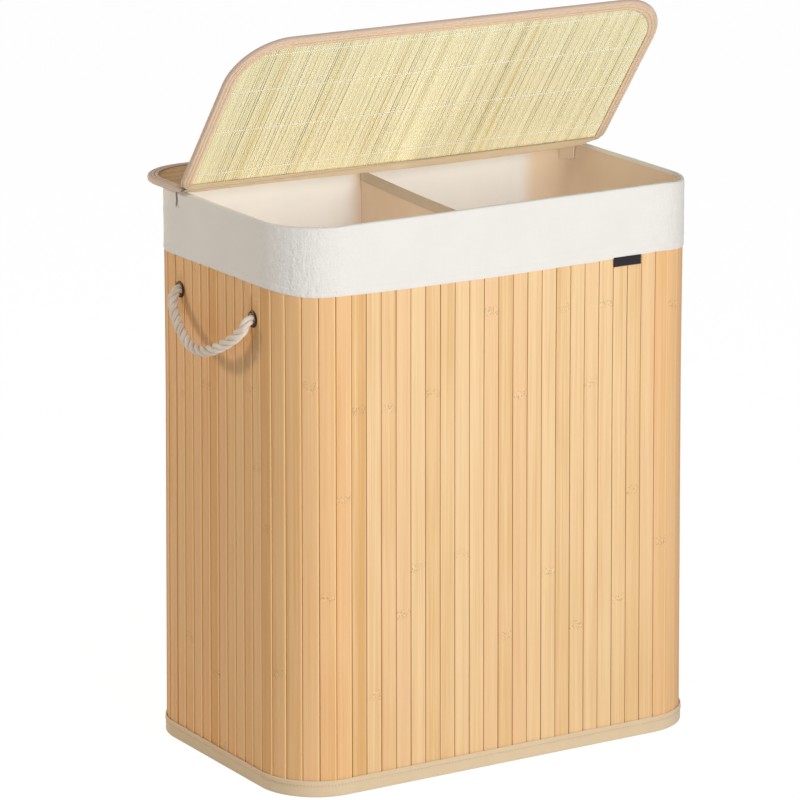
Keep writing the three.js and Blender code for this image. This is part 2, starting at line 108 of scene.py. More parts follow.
# %% Camera
view_azimuth = math.radians(-31.538)
view_elevation = math.radians(14.871)
view_roll = math.radians(0.021)
view_distance = 5.3301
aim_point = Vector((0, 0, 0.315))
aim_right = 0.026724
aim_up = -0.053299
focal_pixels = 4856.4
frame_pixels = 800


def place_camera():
    back = Vector((
        math.sin(view_azimuth) * math.cos(view_elevation),
        -math.cos(view_azimuth) * math.cos(view_elevation),
        math.sin(view_elevation),
    ))
    level = Vector((math.cos(view_azimuth), math.sin(view_azimuth), 0))
    upright = level.cross(-back)
    right = level * math.cos(view_roll) + upright * math.sin(view_roll)
    up = upright * math.cos(view_roll) - level * math.sin(view_roll)
    place = aim_point - right * aim_right - up * aim_up + back * view_distance
    bpy.ops.object.camera_add(location=place)
    camera = bpy.context.object
    camera.rotation_euler = Matrix((right, up, back)).transposed().to_euler()
    camera.data.lens = focal_pixels / frame_pixels * camera.data.sensor_width
    camera.data.clip_end = 50
    bpy.context.scene.camera = camera
    return camera


camera = place_camera()
print("camera at", [round(x, 3) for x in camera.location], "lens", round(camera.data.lens, 1), "mm")

# %% [markdown]
# ## Selecting by place
#
# Edit-mode operators act on what is selected, so these helpers make one object active, open it for editing,
# and select vertices, edges or faces by a test of where they are.

# %% Modelling helpers
def only(obj):
    bpy.ops.object.select_all(action="DESELECT")
    obj.select_set(True)
    bpy.context.view_layer.objects.active = obj


def edit(obj):
    only(obj)
    bpy.ops.object.mode_set(mode="EDIT")
    bpy.ops.mesh.select_all(action="DESELECT")


def leave_edit():
    bpy.ops.object.mode_set(mode="OBJECT")


def middle_of(part):
    points = [part.co] if isinstance(part, bmesh.types.BMVert) else [v.co for v in part.verts]
    return sum(points, Vector()) / len(points)


def choose(obj, kind, test):
    """Selects the verts, edges or faces of the open mesh for which test(part, middle) is true."""
    bpy.ops.mesh.select_mode(type={"verts": "VERT", "edges": "EDGE", "faces": "FACE"}[kind])
    mesh = bmesh.from_edit_mesh(obj.data)
    for part in getattr(mesh, kind):
        part.select_set(bool(test(part, middle_of(part))))
    mesh.select_flush_mode()
    bmesh.update_edit_mesh(obj.data)


def settle(obj, name):
    """Puts the object's place, turn and scale into its mesh, and names it."""
    only(obj)
    bpy.ops.object.transform_apply(location=True, rotation=True, scale=True)
    obj.name = name
    obj.data.name = name
    return obj


def apply_modifier(obj, kind, **settings):
    only(obj)
    modifier = obj.modifiers.new(kind.title(), kind)
    for key, value in settings.items():
        setattr(modifier, key, value)
    bpy.ops.object.modifier_apply(modifier=modifier.name)


def add_shape(kind, name, scale=(1, 1, 1), **settings):
    """One of Blender's primitives, with its place, turn and scale already in its mesh."""
    bpy.ops.object.select_all(action="DESELECT")
    getattr(bpy.ops.mesh, f"primitive_{kind}_add")(**settings)
    bpy.context.object.scale = scale
    return settle(bpy.context.object, name)


def add_object(name, data):
    obj = bpy.data.objects.new(name, data)
    bpy.context.scene.collection.objects.link(obj)
    return obj


def add_mesh(name, points, faces, edges=()):
    mesh = bpy.data.meshes.new(name)
    mesh.from_pydata([tuple(point) for point in points], list(edges), faces)
    return add_object(name, mesh)


def copy_of(obj, name):
    twin = add_object(name, obj.data.copy())
    twin.data.name = name
    return twin


def face_outward(obj):
    edit(obj)
    bpy.ops.mesh.select_all(action="SELECT")
    bpy.ops.mesh.normals_make_consistent(inside=False)
    leave_edit()


def discard(obj):
    bpy.data.objects.remove(obj)


def smooth(obj, angle=40):
    only(obj)
    bpy.ops.object.shade_smooth_by_angle(angle=math.radians(angle))


def finish_piece(obj, body, slot, material, *nodes):
    """Gives a finished piece its material and its body, and hides the solids that it stands for. Its slot is not
    used.
    """
    obj.data.materials.clear()
    obj.data.materials.append(material)
    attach(obj, body)
    if nodes:
        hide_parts(*nodes)


def set_values(obj, **numbers):
    """Stores each number on every point of a piece, for its material to read."""
    for name, number in numbers.items():
        layer = obj.data.attributes.new(name, "FLOAT", "POINT")
        layer.data.foreach_set("value", [number] * len(obj.data.vertices))


def set_uv(obj, place):
    """Fills the piece's UV map with place(point), two lengths in metres along its surface."""
    layer = obj.data.uv_layers.get("cloth") or obj.data.uv_layers.new(name="cloth")
    obj.data.uv_layers.active = layer
    for loop in obj.data.loops:
        layer.data[loop.index].uv = place(obj.data.vertices[loop.vertex_index].co)


def length_of(line):
    return sum((b - a).length for a, b in zip(line, line[1:]))


print("modelling helpers are ready")

# %% [markdown]
# ## The wall line
#
# Slats, cuff, liner and tape all follow one line: a rectangle with round corners at the slats' outer face.
# A place on it is given by the distance walked from the left end of the front, so one function serves them all.

# %% Wall line
flat_x = body_length - 2 * corner_radius
flat_y = body_depth - 2 * corner_radius
arc_length = math.pi / 2 * corner_radius
wall_stretches = [
    ("wall_front", flat_x, False), ("wall_corner_front_right", arc_length, True),
    ("wall_right", flat_y, False), ("wall_corner_rear_right", arc_length, True),
    ("wall_rear", flat_x, False), ("wall_corner_rear_left", arc_length, True),
    ("wall_left", flat_y, False), ("wall_corner_front_left", arc_length, True),
]
wall_length = 2 * (flat_x + flat_y) + 4 * arc_length


def wall_place(distance):
    """Point on the wall line, heading along it as an angle, and the name of the stretch."""
    place = Vector((-flat_x / 2, -body_depth / 2))
    heading = 0.0
    rest = distance % wall_length
    for name, length, turns in wall_stretches:
        run = min(rest, length)
        if turns:
            middle = place + corner_radius * Vector((-math.sin(heading), math.cos(heading)))
            heading += run / corner_radius
            place = middle + corner_radius * Vector((math.sin(heading), -math.cos(heading)))
        else:
            place = place + run * Vector((math.cos(heading), math.sin(heading)))
        rest -= run
        if rest <= 0:
            break
    return place, heading, name


def inside_wall(distance, inset, height):
    """A point at a distance along the wall line, set in from the slats' face."""
    place, heading, _ = wall_place(distance)
    inward = Vector((-math.sin(heading), math.cos(heading)))
    spot = place + inset * inward
    return Vector((spot.x, spot.y, height))


print(f"wall line {wall_length:.4f} long, slat pitch {wall_length / slat_count * 1000:.2f} mm")

# %% [markdown]
# ## Writing a material as sums
#
# A procedural material is a graph of nodes. Writing it as Python sums keeps it readable: this small class
# wraps one output and turns +, - and * into Math nodes, and one method adds any other node.

# %% Material helpers
class Number:
    """One value in a material."""

    def __init__(self, finish, socket):
        self.finish = finish
        self.socket = socket

    def math(self, operation, first, second=None):
        sockets = {0: first} if second is None else {0: first, 1: second}
        return self.finish.node("Math", sockets, {"operation": operation}, 0)

    def __add__(self, other):
        return self.math("ADD", self, other)

    def __radd__(self, other):
        return self.math("ADD", other, self)

    def __sub__(self, other):
        return self.math("SUBTRACT", self, other)

    def __rsub__(self, other):
        return self.math("SUBTRACT", other, self)

    def __mul__(self, other):
        return self.math("MULTIPLY", self, other)

    def __rmul__(self, other):
        return self.math("MULTIPLY", other, self)

    def wave(self):
        return self.math("SINE", self)

    def size(self):
        return self.math("ABSOLUTE", self)

    def between(self, low, high):
        """0 below low, 1 above high, and a smooth rise between them."""
        sockets = {"Value": self, "From Min": low, "From Max": high}
        return self.finish.node("MapRange", sockets, {"interpolation_type": "SMOOTHSTEP"}, "Result")


class Finish:
    """A material under construction, on one Principled shader."""

    def __init__(self, name, **constants):
        self.material = bpy.data.materials.new(name)
        self.material.use_nodes = True
        self.tree = self.material.node_tree
        self.shader = self.tree.nodes["Principled BSDF"]
        for key, value in constants.items():
            self.shader.inputs[key.replace("_", " ").title()].default_value = value

    def feed(self, socket, value):
        if isinstance(value, Number):
            self.tree.links.new(value.socket, socket)
        else:
            socket.default_value = value

    def node(self, kind, sockets, settings=None, out=0):
        made = self.tree.nodes.new("ShaderNode" + kind)
        for key, value in (settings or {}).items():
            setattr(made, key, value)
        for key, value in sockets.items():
            self.feed(made.inputs[key], value)
        return Number(self, made.outputs[out])

    def place(self):
        return self.node("TexCoord", {}, out="Object")

    def uv(self):
        return self.node("UVMap", {}, {"uv_map": "cloth"}, "UV")

    def split(self, vector):
        parts = self.node("SeparateXYZ", {"Vector": vector}, out="X")
        outputs = parts.socket.node.outputs
        return [Number(self, outputs[axis]) for axis in "XYZ"]

    def vector(self, x, y, z):
        return self.node("CombineXYZ", {"X": x, "Y": y, "Z": z}, out="Vector")

    def value(self, name):
        return self.node("Attribute", {}, {"attribute_name": name}, "Fac")

    def noise(self, vector, scale, detail, roughness):
        sockets = {"Vector": vector, "Scale": scale, "Detail": detail, "Roughness": roughness}
        return self.node("TexNoise", sockets, out="Fac")

    def grain(self, x, y, z, detail, roughness):
        """Noise at a place given by three values, which may be stretched each in its own way."""
        return self.noise(self.vector(x, y, z), 1.0, detail, roughness)

    def mix(self, share, first, second):
        return self.node("Mix", {0: share, 6: first, 7: second}, {"data_type": "RGBA"}, 2)

    def tint(self, colour, factor):
        """The colour with its brightness times a number."""
        sockets = {0: colour, 1: self.vector(factor, factor, factor)}
        return self.node("VectorMath", sockets, {"operation": "MULTIPLY"}, 0)

    def show(self, colour, roughness, relief, depth, strength):
        """Feeds the shader and gives the finished material. The relief is depth deep."""
        self.feed(self.shader.inputs["Base Color"], colour)
        self.feed(self.shader.inputs["Roughness"], roughness)
        bump = self.node("Bump", {"Height": relief, "Strength": strength, "Distance": depth}, out="Normal")
        self.feed(self.shader.inputs["Normal"], bump)
        return self.material


def paint(red, green, blue):
    """A colour as read from a screen, 0 to 255, as the linear values that a shader takes."""
    def linear(level):
        share = level / 255
        return share / 12.92 if share <= 0.04045 else ((share + 0.055) / 1.055) ** 2.4

    return (linear(red), linear(green), linear(blue), 1.0)


print("material helpers are ready")

# %% [markdown]
# ## Bamboo
#
# A bamboo slat is a strip of the culm: straight fibres all along, some strips paler, pinker or yellower than
# their neighbours, and now and then a node, where short dark dashes and light dots cross the strip.
# Each slat carries a few numbers of its own (tone, shift and the height of its node), so one material
# gives every slat its own face. The UV map runs across (U) and along (V) the slat, in metres.

# %% Bamboo material
def bamboo_finish():
    finish = Finish("bamboo_slats", coat_weight=0.1, coat_roughness=0.3)
    pale, deep, rosy = paint(247, 211, 160), paint(226, 176, 109), paint(243, 197, 147)
    across, along, _ = finish.split(finish.uv())
    tone = finish.value("tone")
    shift = finish.value("shift")
    blush = finish.value("blush")
    broad = finish.grain(across * 150, along * 1.6 + shift * 37, shift * 91, 2.0, 0.5)
    fibre = finish.grain(across * 900, along * 9 + shift * 11, shift * 53, 3.0, 0.6)
    hair = finish.grain(across * 3200, along * 30 + shift * 7, shift * 23, 2.0, 0.6)
    cloudy = finish.grain(across * 20, along * 7 + shift * 19, shift * 71, 1.0, 0.5)
    streak = finish.grain(across * 480, along * 5 + shift * 29, shift * 37, 2.0, 0.55)
    share = (tone + (broad - 0.5) * 0.9 + (streak - 0.5) * 0.8 + (cloudy - 0.5) * 0.45).between(-0.1, 1.1)
    colour = finish.mix(share, deep, pale)
    colour = finish.mix((blush + (cloudy - 0.5) * 0.8).between(0.35, 1.1) * 0.6, colour, rosy)
    colour = finish.tint(colour, 1.0 + (hair - 0.5) * 0.10 + (fibre - 0.5) * 0.10 + (streak - 0.5) * 0.10)
    # The slats of the short sides and corners get a deeper, warmer colour as painted shade, and the edge that
    # stands proud gets a painted highlight. On the long sides the other edge, down in the gap, gets painted
    # shade.
    rubbed = finish.value("rubbed")
    colour = finish.mix(rubbed * 0.35, colour, paint(239, 160, 82))
    # Painted highlight: a pale strip along the edge that stands proud
    line = across.between(0.0063, 0.0074) * rubbed.between(0.6, 1.0)
    colour = finish.mix(line, colour, paint(255, 220, 156))
    # Painted shade: a dark strip along the sunken edge, down in the gap
    painted_gap_shade = (0.0 - across).between(0.0079, 0.0084) * (1 - rubbed)
    colour = finish.mix(painted_gap_shade * 0.45, colour, paint(150, 98, 52))
    # The node: a band of dashes and dots about 11 mm tall round the height that the slat names
    off_node = along - finish.value("node_height")
    sway = (finish.grain(across * 120, shift * 13, 0.0, 1.0, 0.5) - 0.5) * 0.010
    band = 1 - ((off_node + sway).size()).between(0.0026, 0.0072)
    patch = finish.grain(across * 170, along * 90, shift * 47, 1.0, 0.5).between(0.34, 0.56)
    spot = finish.vector(across * 560, along * 400, shift * 31)
    cells = finish.node("TexVoronoi", {"Vector": spot, "Scale": 1.0}, out="Distance")
    specks = (1 - cells.between(0.16, 0.44)) * band * patch
    lights = cells.between(0.5, 0.75) * band * patch
    colour = finish.tint(colour, 1 - specks * 0.34 + lights * 0.1 - band * 0.03)
    relief = hair * 0.25 + fibre * 0.5 - specks * 0.9
    roughness = 0.4 + fibre * 0.16 + specks * 0.2
    return finish.show(colour, roughness, relief, 0.00025, 0.5)


bamboo = bamboo_finish()
print("made", bamboo.name)

# %% [markdown]
# ## Cloth
#
# The cuff is a plain-woven linen look: threads of uneven thickness run both ways. The liner is a thinner
# cotton, and the tapes are a firm twill. All three read the UV map in metres, so a thread is as wide on
# the cuff as on the tag. Relief comes from the same threads as the colour.

# %% Cloth materials
def woven_finish(name, light, shade, pitch, relief=0.00015, creased=False):
    finish = Finish(name, sheen_weight=0.15, sheen_roughness=0.5)
    along, up, _ = finish.split(finish.uv())
    turn = 2 * math.pi / pitch
    warp = (along * turn).wave()
    weft = (up * turn).wave()
    weave = (warp * weft) * 0.5 + 0.5
    thick_weft = finish.grain(along * 40, up * 900, 0.0, 3.0, 0.6)
    thick_warp = finish.grain(along * 900, up * 40, 3.0, 3.0, 0.6)
    patch = finish.grain(along * 25, up * 25, 7.0, 3.0, 0.55)
    threads = (thick_weft + thick_warp) * 0.5
    share = (weave * 0.06 + (threads - 0.5) * 0.64 + (patch - 0.5) * 0.5 + 0.5).between(-0.2, 1.2)
    colour = finish.mix(share, shade, light)
    height = weave * 0.5 + threads * 0.8 + patch * 0.3
    if creased:
        # Where the cloth is pulled round a corner its threads crowd into small upright wrinkles, and shade and
        # highlights on them are painted into the colour.
        pulled = finish.value("crease")
        wrinkles = finish.grain(along * 210, up * 95, 11.0, 3.0, 0.6)
        crumbs = finish.grain(along * 520, up * 430, 13.0, 2.0, 0.6)
        height = height + pulled * (wrinkles * 9.0 + crumbs * 5.0)
        # Painted shade and highlight that follow the wrinkles
        colour = finish.tint(colour, 1 + pulled * ((crumbs - 0.5) * 0.22 + (wrinkles - 0.5) * 0.14))
    return finish.show(colour, 0.86 + threads * 0.1, height, relief, 0.6)


linen = woven_finish(
    "linen_cuff", paint(246, 243, 238), paint(234, 230, 223), 0.0009, relief=0.0003, creased=True)
tape_cloth = woven_finish("beige_tape", paint(236, 215, 182), paint(222, 198, 162), 0.0008)
tab_tape = woven_finish("tab_tape", paint(238, 216, 194), paint(222, 198, 174), 0.0009)
tan_twill = woven_finish("tan_twill", paint(217, 201, 183), paint(198, 179, 158), 0.0009)
backing_cloth = woven_finish("brown_backing", paint(214, 170, 118), paint(190, 146, 98), 0.0010)
tag_cloth = woven_finish("black_tag_cloth", paint(44, 40, 43), paint(28, 25, 29), 0.0006)
tie_cloth = woven_finish("tie_cloth", paint(150, 138, 120), paint(120, 105, 88), 0.0006)
print("made the cloth materials")

# %% [markdown]
# The liner cloth is cream. On its side panels, its floor and the divider a tan is painted in as shade, the warm
# shade inside the bins, and it runs into the cream round the corners and beside the seams, so the material mixes
# both by a number stored on the cloth.

# %% Liner material
def liner_finish():
    finish = Finish("liner_cotton", sheen_weight=0.1)
    along, up, _ = finish.split(finish.uv())
    tan_share = finish.value("tan_share")
    weave = (along * (2 * math.pi / 0.0007)).wave() * (up * (2 * math.pi / 0.0007)).wave() * 0.5 + 0.5
    patch = finish.grain(along * 14, up * 14, 2.0, 4.0, 0.55)
    fine = finish.grain(along * 260, up * 260, 5.0, 2.0, 0.6)
    cream = finish.mix((patch - 0.5) * 0.8 + 0.5, paint(233, 231, 229), paint(243, 243, 242))
    # The tan is painted shade, the warm shade inside the bins
    tan = finish.mix((patch - 0.5) * 0.9 + 0.5, paint(229, 204, 178), paint(241, 220, 197))
    colour = finish.mix((tan_share + (patch - 0.5) * 0.25).between(0.1, 0.9), cream, tan)
    return finish.show(colour, 0.88 + fine * 0.08, weave * 0.4 + fine * 0.6, 0.00012, 0.5)


liner_cotton = liner_finish()
print("made", liner_cotton.name)

# %% [markdown]
# ## Metal, thread, board and rope
#
# The eyelets are brass with a dark bronze plating, and a pale ring round the bore is a painted highlight on the
# rolled lip. The hidden rods and washers are zinc-plated steel, and the boards are plain fibreboard.

# %% Other materials
def bronze_finish():
    finish = Finish("bronze_plating", metallic=1.0)
    place = finish.place()
    blotches = finish.noise(place, 260.0, 4.0, 0.6)
    # Painted highlight: paler, smoother metal on the ring round the bore
    painted_lip_highlight = (finish.value("painted_lip_highlight") + (blotches - 0.5) * 0.6).between(0.35, 0.9)
    colour = finish.mix(painted_lip_highlight, paint(92, 66, 44), paint(214, 204, 194))
    return finish.show(colour, 0.42 - painted_lip_highlight * 0.16, blotches, 0.0001, 0.3)


def steel_finish():
    finish = Finish("zinc_steel", metallic=0.9)
    flow = finish.node("Mapping", {"Vector": finish.place(), "Scale": (900.0, 900.0, 40.0)}, out="Vector")
    grain = finish.noise(flow, 1.0, 3.0, 0.6)
    colour = finish.mix(grain, paint(150, 152, 156), paint(196, 198, 200))
    return finish.show(colour, 0.28 + grain * 0.2, grain, 0.00005, 0.4)


def board_finish():
    finish = Finish("fibreboard")
    place = finish.place()
    chips = finish.noise(place, 420.0, 4.0, 0.7)
    patch = finish.noise(place, 30.0, 2.0, 0.5)
    colour = finish.mix(chips * 0.7 + patch * 0.3, paint(150, 122, 88), paint(196, 168, 128))
    return finish.show(colour, 0.7 + chips * 0.2, chips, 0.0002, 0.5)


def thread_finish(name, light, shade):
    finish = Finish(name)
    ply = finish.noise(finish.place(), 1800.0, 2.0, 0.5)
    return finish.show(finish.mix(ply, shade, light), 0.6 + ply * 0.2, ply, 0.00008, 0.5)


bronze = bronze_finish()
steel = steel_finish()
board = board_finish()
tan_thread = thread_finish("tan_thread", paint(214, 182, 146), paint(170, 138, 104))
white_thread = thread_finish("white_thread", paint(255, 253, 242), paint(246, 240, 222))
print("made metal, board and thread materials")

# %% [markdown]
# ## The rope handles
#
# Each handle is a three-strand cotton rope, 10.5 mm across. It comes out of the rear eyelet, bends straight
# down, hangs in a slack loop that leans away from the wall, and goes back in at the front eyelet.
# A twisted rope is three round strands on one helix, so each strand is swept along its own screw line.
# The lay is tighter at the rear than at the front, as on a rope that was cut and knotted by hand.
# Past the eyelets, which squeeze it, the rope swells by a sixth.

# %% Rope route
rope_radius = 0.00525
rope_tilt = math.radians(20)
pivot_out = body_length / 2 + 0.0066
bore_inner = body_length / 2 - 0.0105
# Each point is (across, down) from the middle of the eyelet line, in the plane in which the rope hangs
rope_route = [
    (0.078, 0), (0.0775, 0.005), (0.075, 0.012), (0.068, 0.020), (0.056, 0.029), (0.042, 0.0375),
    (0.027, 0.0445), (0.012, 0.049), (0, 0.050), (-0.012, 0.049), (-0.027, 0.0445), (-0.042, 0.0375),
    (-0.056, 0.029), (-0.068, 0.020), (-0.075, 0.012), (-0.0775, 0.005), (-0.078, 0),
]


def smooth_line(points, step):
    """A smooth curve through the points (Catmull-Rom), cut into short steps."""
    ends = [2 * points[0] - points[1], *points, 2 * points[-1] - points[-2]]
    line = []
    for before, start, end, after in zip(ends, ends[1:], ends[2:], ends[3:]):
        count = max(1, round((end - start).length / step))
        for number in range(count):
            t = number / count
            line.append(0.5 * (
                2 * start + (end - before) * t + (2 * before - 5 * start + 4 * end - after) * t ** 2
                + (3 * start - before - 3 * end + after) * t ** 3
            ))
    return line + [points[-1]]


def rope_path(side):
    """The rope's middle line: out of the rear bore, down, along the loop and into the front bore."""
    hanging = [
        Vector((
            side * (pivot_out + down * math.sin(rope_tilt)), across,
            eyelet_height - down * math.cos(rope_tilt),
        ))
        for across, down in rope_route
    ]
    bend_room = 0.0035
    rear = Vector((side * (pivot_out - bend_room), eyelet_out, eyelet_height))
    front = Vector((side * (pivot_out - bend_room), -eyelet_out, eyelet_height))
    rear_start = Vector((side * bore_inner, eyelet_out, eyelet_height))
    front_start = Vector((side * bore_inner, -eyelet_out, eyelet_height))
    return smooth_line([rear_start, rear, *hanging[1:-1], front, front_start], 0.0011)


rope_lines = {side: rope_path(side) for side in side_names}
print(f"rope line: {len(rope_lines[-1])} points, {length_of(rope_lines[-1]):.4f} m")

# %% [markdown]
# A strand's own yarns show as shallow ridges that turn the other way, so its section is a circle with seven
# small lobes. The lobes are real shape, and only the cotton's fluff is left to the material.

# %% Twisted rope
strand_radius = rope_radius / (1 + 2 / math.sqrt(3))
strand_out = rope_radius - strand_radius
lay_rear = 0.029
lay_front = 0.043
yarn_lobes = 7
yarn_lobe_height = 0.05
yarn_turn = 0.12
strand_sides = 21
squeezed_length = 0.014
swelling_length = 0.02
free_swell = 0.16


def frames_along(line):
    """At each point of a line: its tangent and two directions square to it, turned as little as possible."""
    tangents = [(b - a).normalized() for a, b in zip(line, line[1:])]
    tangents = [tangents[0], *[(a + b).normalized() for a, b in zip(tangents, tangents[1:])], tangents[-1]]
    side = tangents[0].orthogonal().normalized()
    frames = []
    for tangent in tangents:
        side = (side - tangent * side.dot(tangent)).normalized()
        frames.append((tangent, side, tangent.cross(side)))
    return frames


def twisted_rope(name, line):
    frames = frames_along(line)
    total = length_of(line)
    mesh = bmesh.new()
    for strand in range(3):
        centres = []
        swells = []
        travelled = 0.0
        turn = strand * 2 * math.pi / 3
        for number, (point, (_, side, across)) in enumerate(zip(line, frames)):
            if number:
                step = (point - line[number - 1]).length
                travelled += step
                lay = lay_rear + (lay_front - lay_rear) * travelled / total
                turn += 2 * math.pi * step / lay
            past = min(travelled, total - travelled) - squeezed_length
            swells.append(1 + free_swell * min(1.0, max(0.0, past / swelling_length)))
            centres.append(point + swells[-1] * strand_out * (math.cos(turn) * side + math.sin(turn) * across))
        rings = []
        for number, (centre, (_, side, across)) in enumerate(zip(centres, frames_along(centres))):
            ring = []
            for corner in range(strand_sides):
                angle = 2 * math.pi * corner / strand_sides
                lobe = 1 + yarn_lobe_height * math.cos(yarn_lobes * angle - number * yarn_turn)
                reach = swells[number] * strand_radius * lobe
                spot = centre + reach * (math.cos(angle) * side + math.sin(angle) * across)
                ring.append(mesh.verts.new(spot))
            rings.append(ring)
        for low, high in zip(rings, rings[1:]):
            for corner in range(strand_sides):
                beside = (corner + 1) % strand_sides
                mesh.faces.new((low[corner], low[beside], high[beside], high[corner]))
        mesh.faces.new(rings[0][::-1])
        mesh.faces.new(rings[-1])
    bmesh.ops.recalc_face_normals(mesh, faces=mesh.faces)
    data = bpy.data.meshes.new(name)
    mesh.to_mesh(data)
    mesh.free()
    rope = add_object(name, data)
    smooth(rope, 60)
    return rope


def cotton_finish():
    finish = Finish("cotton_rope", sheen_weight=0.25)
    place = finish.place()
    fluff = finish.noise(place, 1500.0, 4.0, 0.65)
    patch = finish.noise(place, 90.0, 3.0, 0.5)
    share = (patch * 0.6 + fluff * 0.4).between(0.25, 0.75)
    colour = finish.mix(share, paint(222, 207, 188), paint(246, 237, 226))
    return finish.show(colour, 0.88 + fluff * 0.1, fluff, 0.0002, 0.7)


cotton = cotton_finish()
ropes = {}
for side, label in side_names.items():
    ropes[side] = twisted_rope(f"rope_{label}", rope_lines[side])
    ropes[side].data.materials.append(cotton)
    end = (side * (pivot_out + 0.0003), 0, eyelet_height)
    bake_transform(ropes[side])
    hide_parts(f"handle_rope_{label}")
    print(ropes[side].name, len(ropes[side].data.polygons), "faces")

# %% [markdown]
# Behind the wall each end is stopped by a knot. It is a turn and a half of the same rope, pressed flat
# between the washer and the liner.

# %% Rope knots
knot_out = body_length / 2 - 0.0105
knot_turn_radius = 0.0058
knot_strand = 0.0034


def knot_line(side, end):
    middle = Vector((side * knot_out, end * eyelet_out, eyelet_height))
    points = []
    for number in range(15):
        angle = number / 14 * 3 * math.pi
        swell = knot_turn_radius * (0.55 + 0.45 * math.sin(angle / 3))
        depth = 0.0022 * math.cos(angle * 2 / 3)
        points.append(middle + Vector((-side * depth, swell * math.cos(angle), swell * math.sin(angle))))
    return smooth_line(points, 0.0012)


for side, end in eyelet_places:
    name = f"{side_names[side]}_{end_names[end]}"
    line = knot_line(side, end)
    curve = bpy.data.curves.new(f"rope_knot_{name}", "CURVE")
    curve.dimensions = "3D"
    curve.bevel_depth = knot_strand
    curve.bevel_resolution = 3
    curve.use_fill_caps = True
    spline = curve.splines.new("POLY")
    spline.points.add(len(line) - 1)
    for point, place in zip(spline.points, line):
        point.co = (*place, 1)
    only(add_object(f"rope_knot_{name}", curve))
    bpy.ops.object.convert(target="MESH")
    knot = bpy.context.object
    smooth(knot, 60)
    finish_piece(knot, "hamper", "cotton_rope", cotton, f"rope_end_{name}")
print("made", len(eyelet_places), "knots")

# %% [markdown]
# A handle is one length of rope with a knot at each end. Its length between the knots is printed.

for side, rope in ropes.items():
    label = side_names[side]
    line = rope_lines[side]
    length = length_of(line)
    [tuple(point) for point in line]
    print(f"{rope.name}: {length * 1000:.0f} mm of rope between its knots")

# %% [markdown]
# ## Eyelets
#
# An eyelet is a thin metal tube whose outer end is rolled into a domed flange. Its section, a small loop of
# points, is drawn on one side of the axis and spun round it.

# %% Eyelets
eyelet_bore = 0.0056
eyelet_barrel = 0.0061
flange_radius = 0.0092
flange_rise = 0.0013


def make_eyelet(name, side, end):
    face = body_length / 2 + 0.0003
    inner = body_length / 2 - 0.0042
    section = [
        (eyelet_bore, inner), (eyelet_bore, face), (eyelet_bore + 0.0003, face + 0.0008),
        (eyelet_bore + 0.001, face + flange_rise), (flange_radius - 0.0014, face + flange_rise),
        (flange_radius - 0.0004, face + 0.0008), (flange_radius, face + 0.0001), (flange_radius - 0.0004, face),
        (eyelet_barrel, face), (eyelet_barrel, inner),
    ]
    middle = Vector((0, end * eyelet_out, eyelet_height))
    points = [(side * out, middle.y, middle.z + radius) for radius, out in section]
    edges = [(number, (number + 1) % len(points)) for number in range(len(points))]
    eyelet = add_mesh(name, points, [], edges)
    edit(eyelet)
    bpy.ops.mesh.select_all(action="SELECT")
    bpy.ops.mesh.spin(steps=48, angle=2 * math.pi, center=middle, axis=(1, 0, 0))
    bpy.ops.mesh.select_all(action="SELECT")
    bpy.ops.mesh.remove_doubles(threshold=0.00002)
    leave_edit()
    face_outward(eyelet)
    smooth(eyelet, 50)
    # Painted highlight: the ring round the bore is marked for paler metal
    painted_lip_highlight = eyelet.data.attributes.new("painted_lip_highlight", "FLOAT", "POINT")
    for number, vertex in enumerate(eyelet.data.vertices):
        radius = (vertex.co - Vector((vertex.co.x, middle.y, middle.z))).length
        painted_lip_highlight.data[number].value = max(0.0, min(1.0, (eyelet_bore + 0.0016 - radius) / 0.0012))
    return eyelet


for side, end in eyelet_places:
    name = f"{side_names[side]}_{end_names[end]}"
    eyelet = make_eyelet(f"eyelet_ring_{name}", side, end)
    finish_piece(eyelet, "hamper", "bronze", bronze, f"eyelet_{name}")
print("made", len(eyelet_places), "eyelets")

# %% [markdown]
# ## The slats
#
# Every slat is the same strip of bamboo, so one is modelled and copied. It starts as a cube at the strip's
# size. The two long edges of its face are beveled, because they catch the light beside each dark gap,
# and it is cut into lengths so that each copy can bow a little.

# %% One slat
slat_pitch = wall_length / slat_count
slat_width = slat_pitch - slat_gap


def make_strip(name, width, thickness, length, edge, cuts):
    """A strip that stands along +Z with its face towards -Y, its back in the plane y = thickness."""
    strip = add_shape("cube", name, (width, thickness, length), size=1, location=(0, thickness / 2, 0))
    edit(strip)
    choose(strip, "edges", lambda part, middle: middle.y < thickness / 4 and abs(middle.z) < length / 4)
    bpy.ops.mesh.bevel(offset=edge, segments=3, profile=0.5, affect="EDGES")
    bpy.ops.mesh.select_all(action="DESELECT")
    choose(strip, "edges", lambda part, middle: abs(part.verts[0].co.z - part.verts[1].co.z) > length / 2)
    bpy.ops.mesh.subdivide(number_cuts=cuts)
    leave_edit()
    set_uv(strip, lambda co: (co.x + 0.5 * co.y, co.z))
    return strip


slat_length = slat_top - slat_foot
master_slat = make_strip("master_slat", slat_width, slat_thickness, slat_length, slat_edge, slat_cuts)
print("one slat:", len(master_slat.data.polygons), "faces")

# %% [markdown]
# The copies go round the wall line, each a little askew, so that one edge stands a hair proud of the
# next slat and catches the light. Each gets its own bow, twist and tone from a seeded draw, so the wall
# comes out the same every time the notebook runs. Where an eyelet passes, a cylinder is cut out of the slat.

# %% Slat wall
draw = random.Random(41)
hole_radius = 0.0063
no_node = 9.0
# Share of the painted side shade and edge highlight on each stretch of slats; where it is 0 the painted gap
# shade goes on instead
rubbed_shares = {"wall_front": 0.0, "wall_rear": 0.0, "wall_left": 1.0, "wall_right": 1.0}
corner_rubbed_share = 0.8


def make_hole_cutter(side, end):
    return add_shape(
        "cylinder", f"hole_{side}_{end}", vertices=40, radius=hole_radius, depth=0.02,
        rotation=(0, math.pi / 2, 0), location=(side * body_length / 2, end * eyelet_out, eyelet_height))


hole_cutters = [make_hole_cutter(side, end) for side, end in eyelet_places]


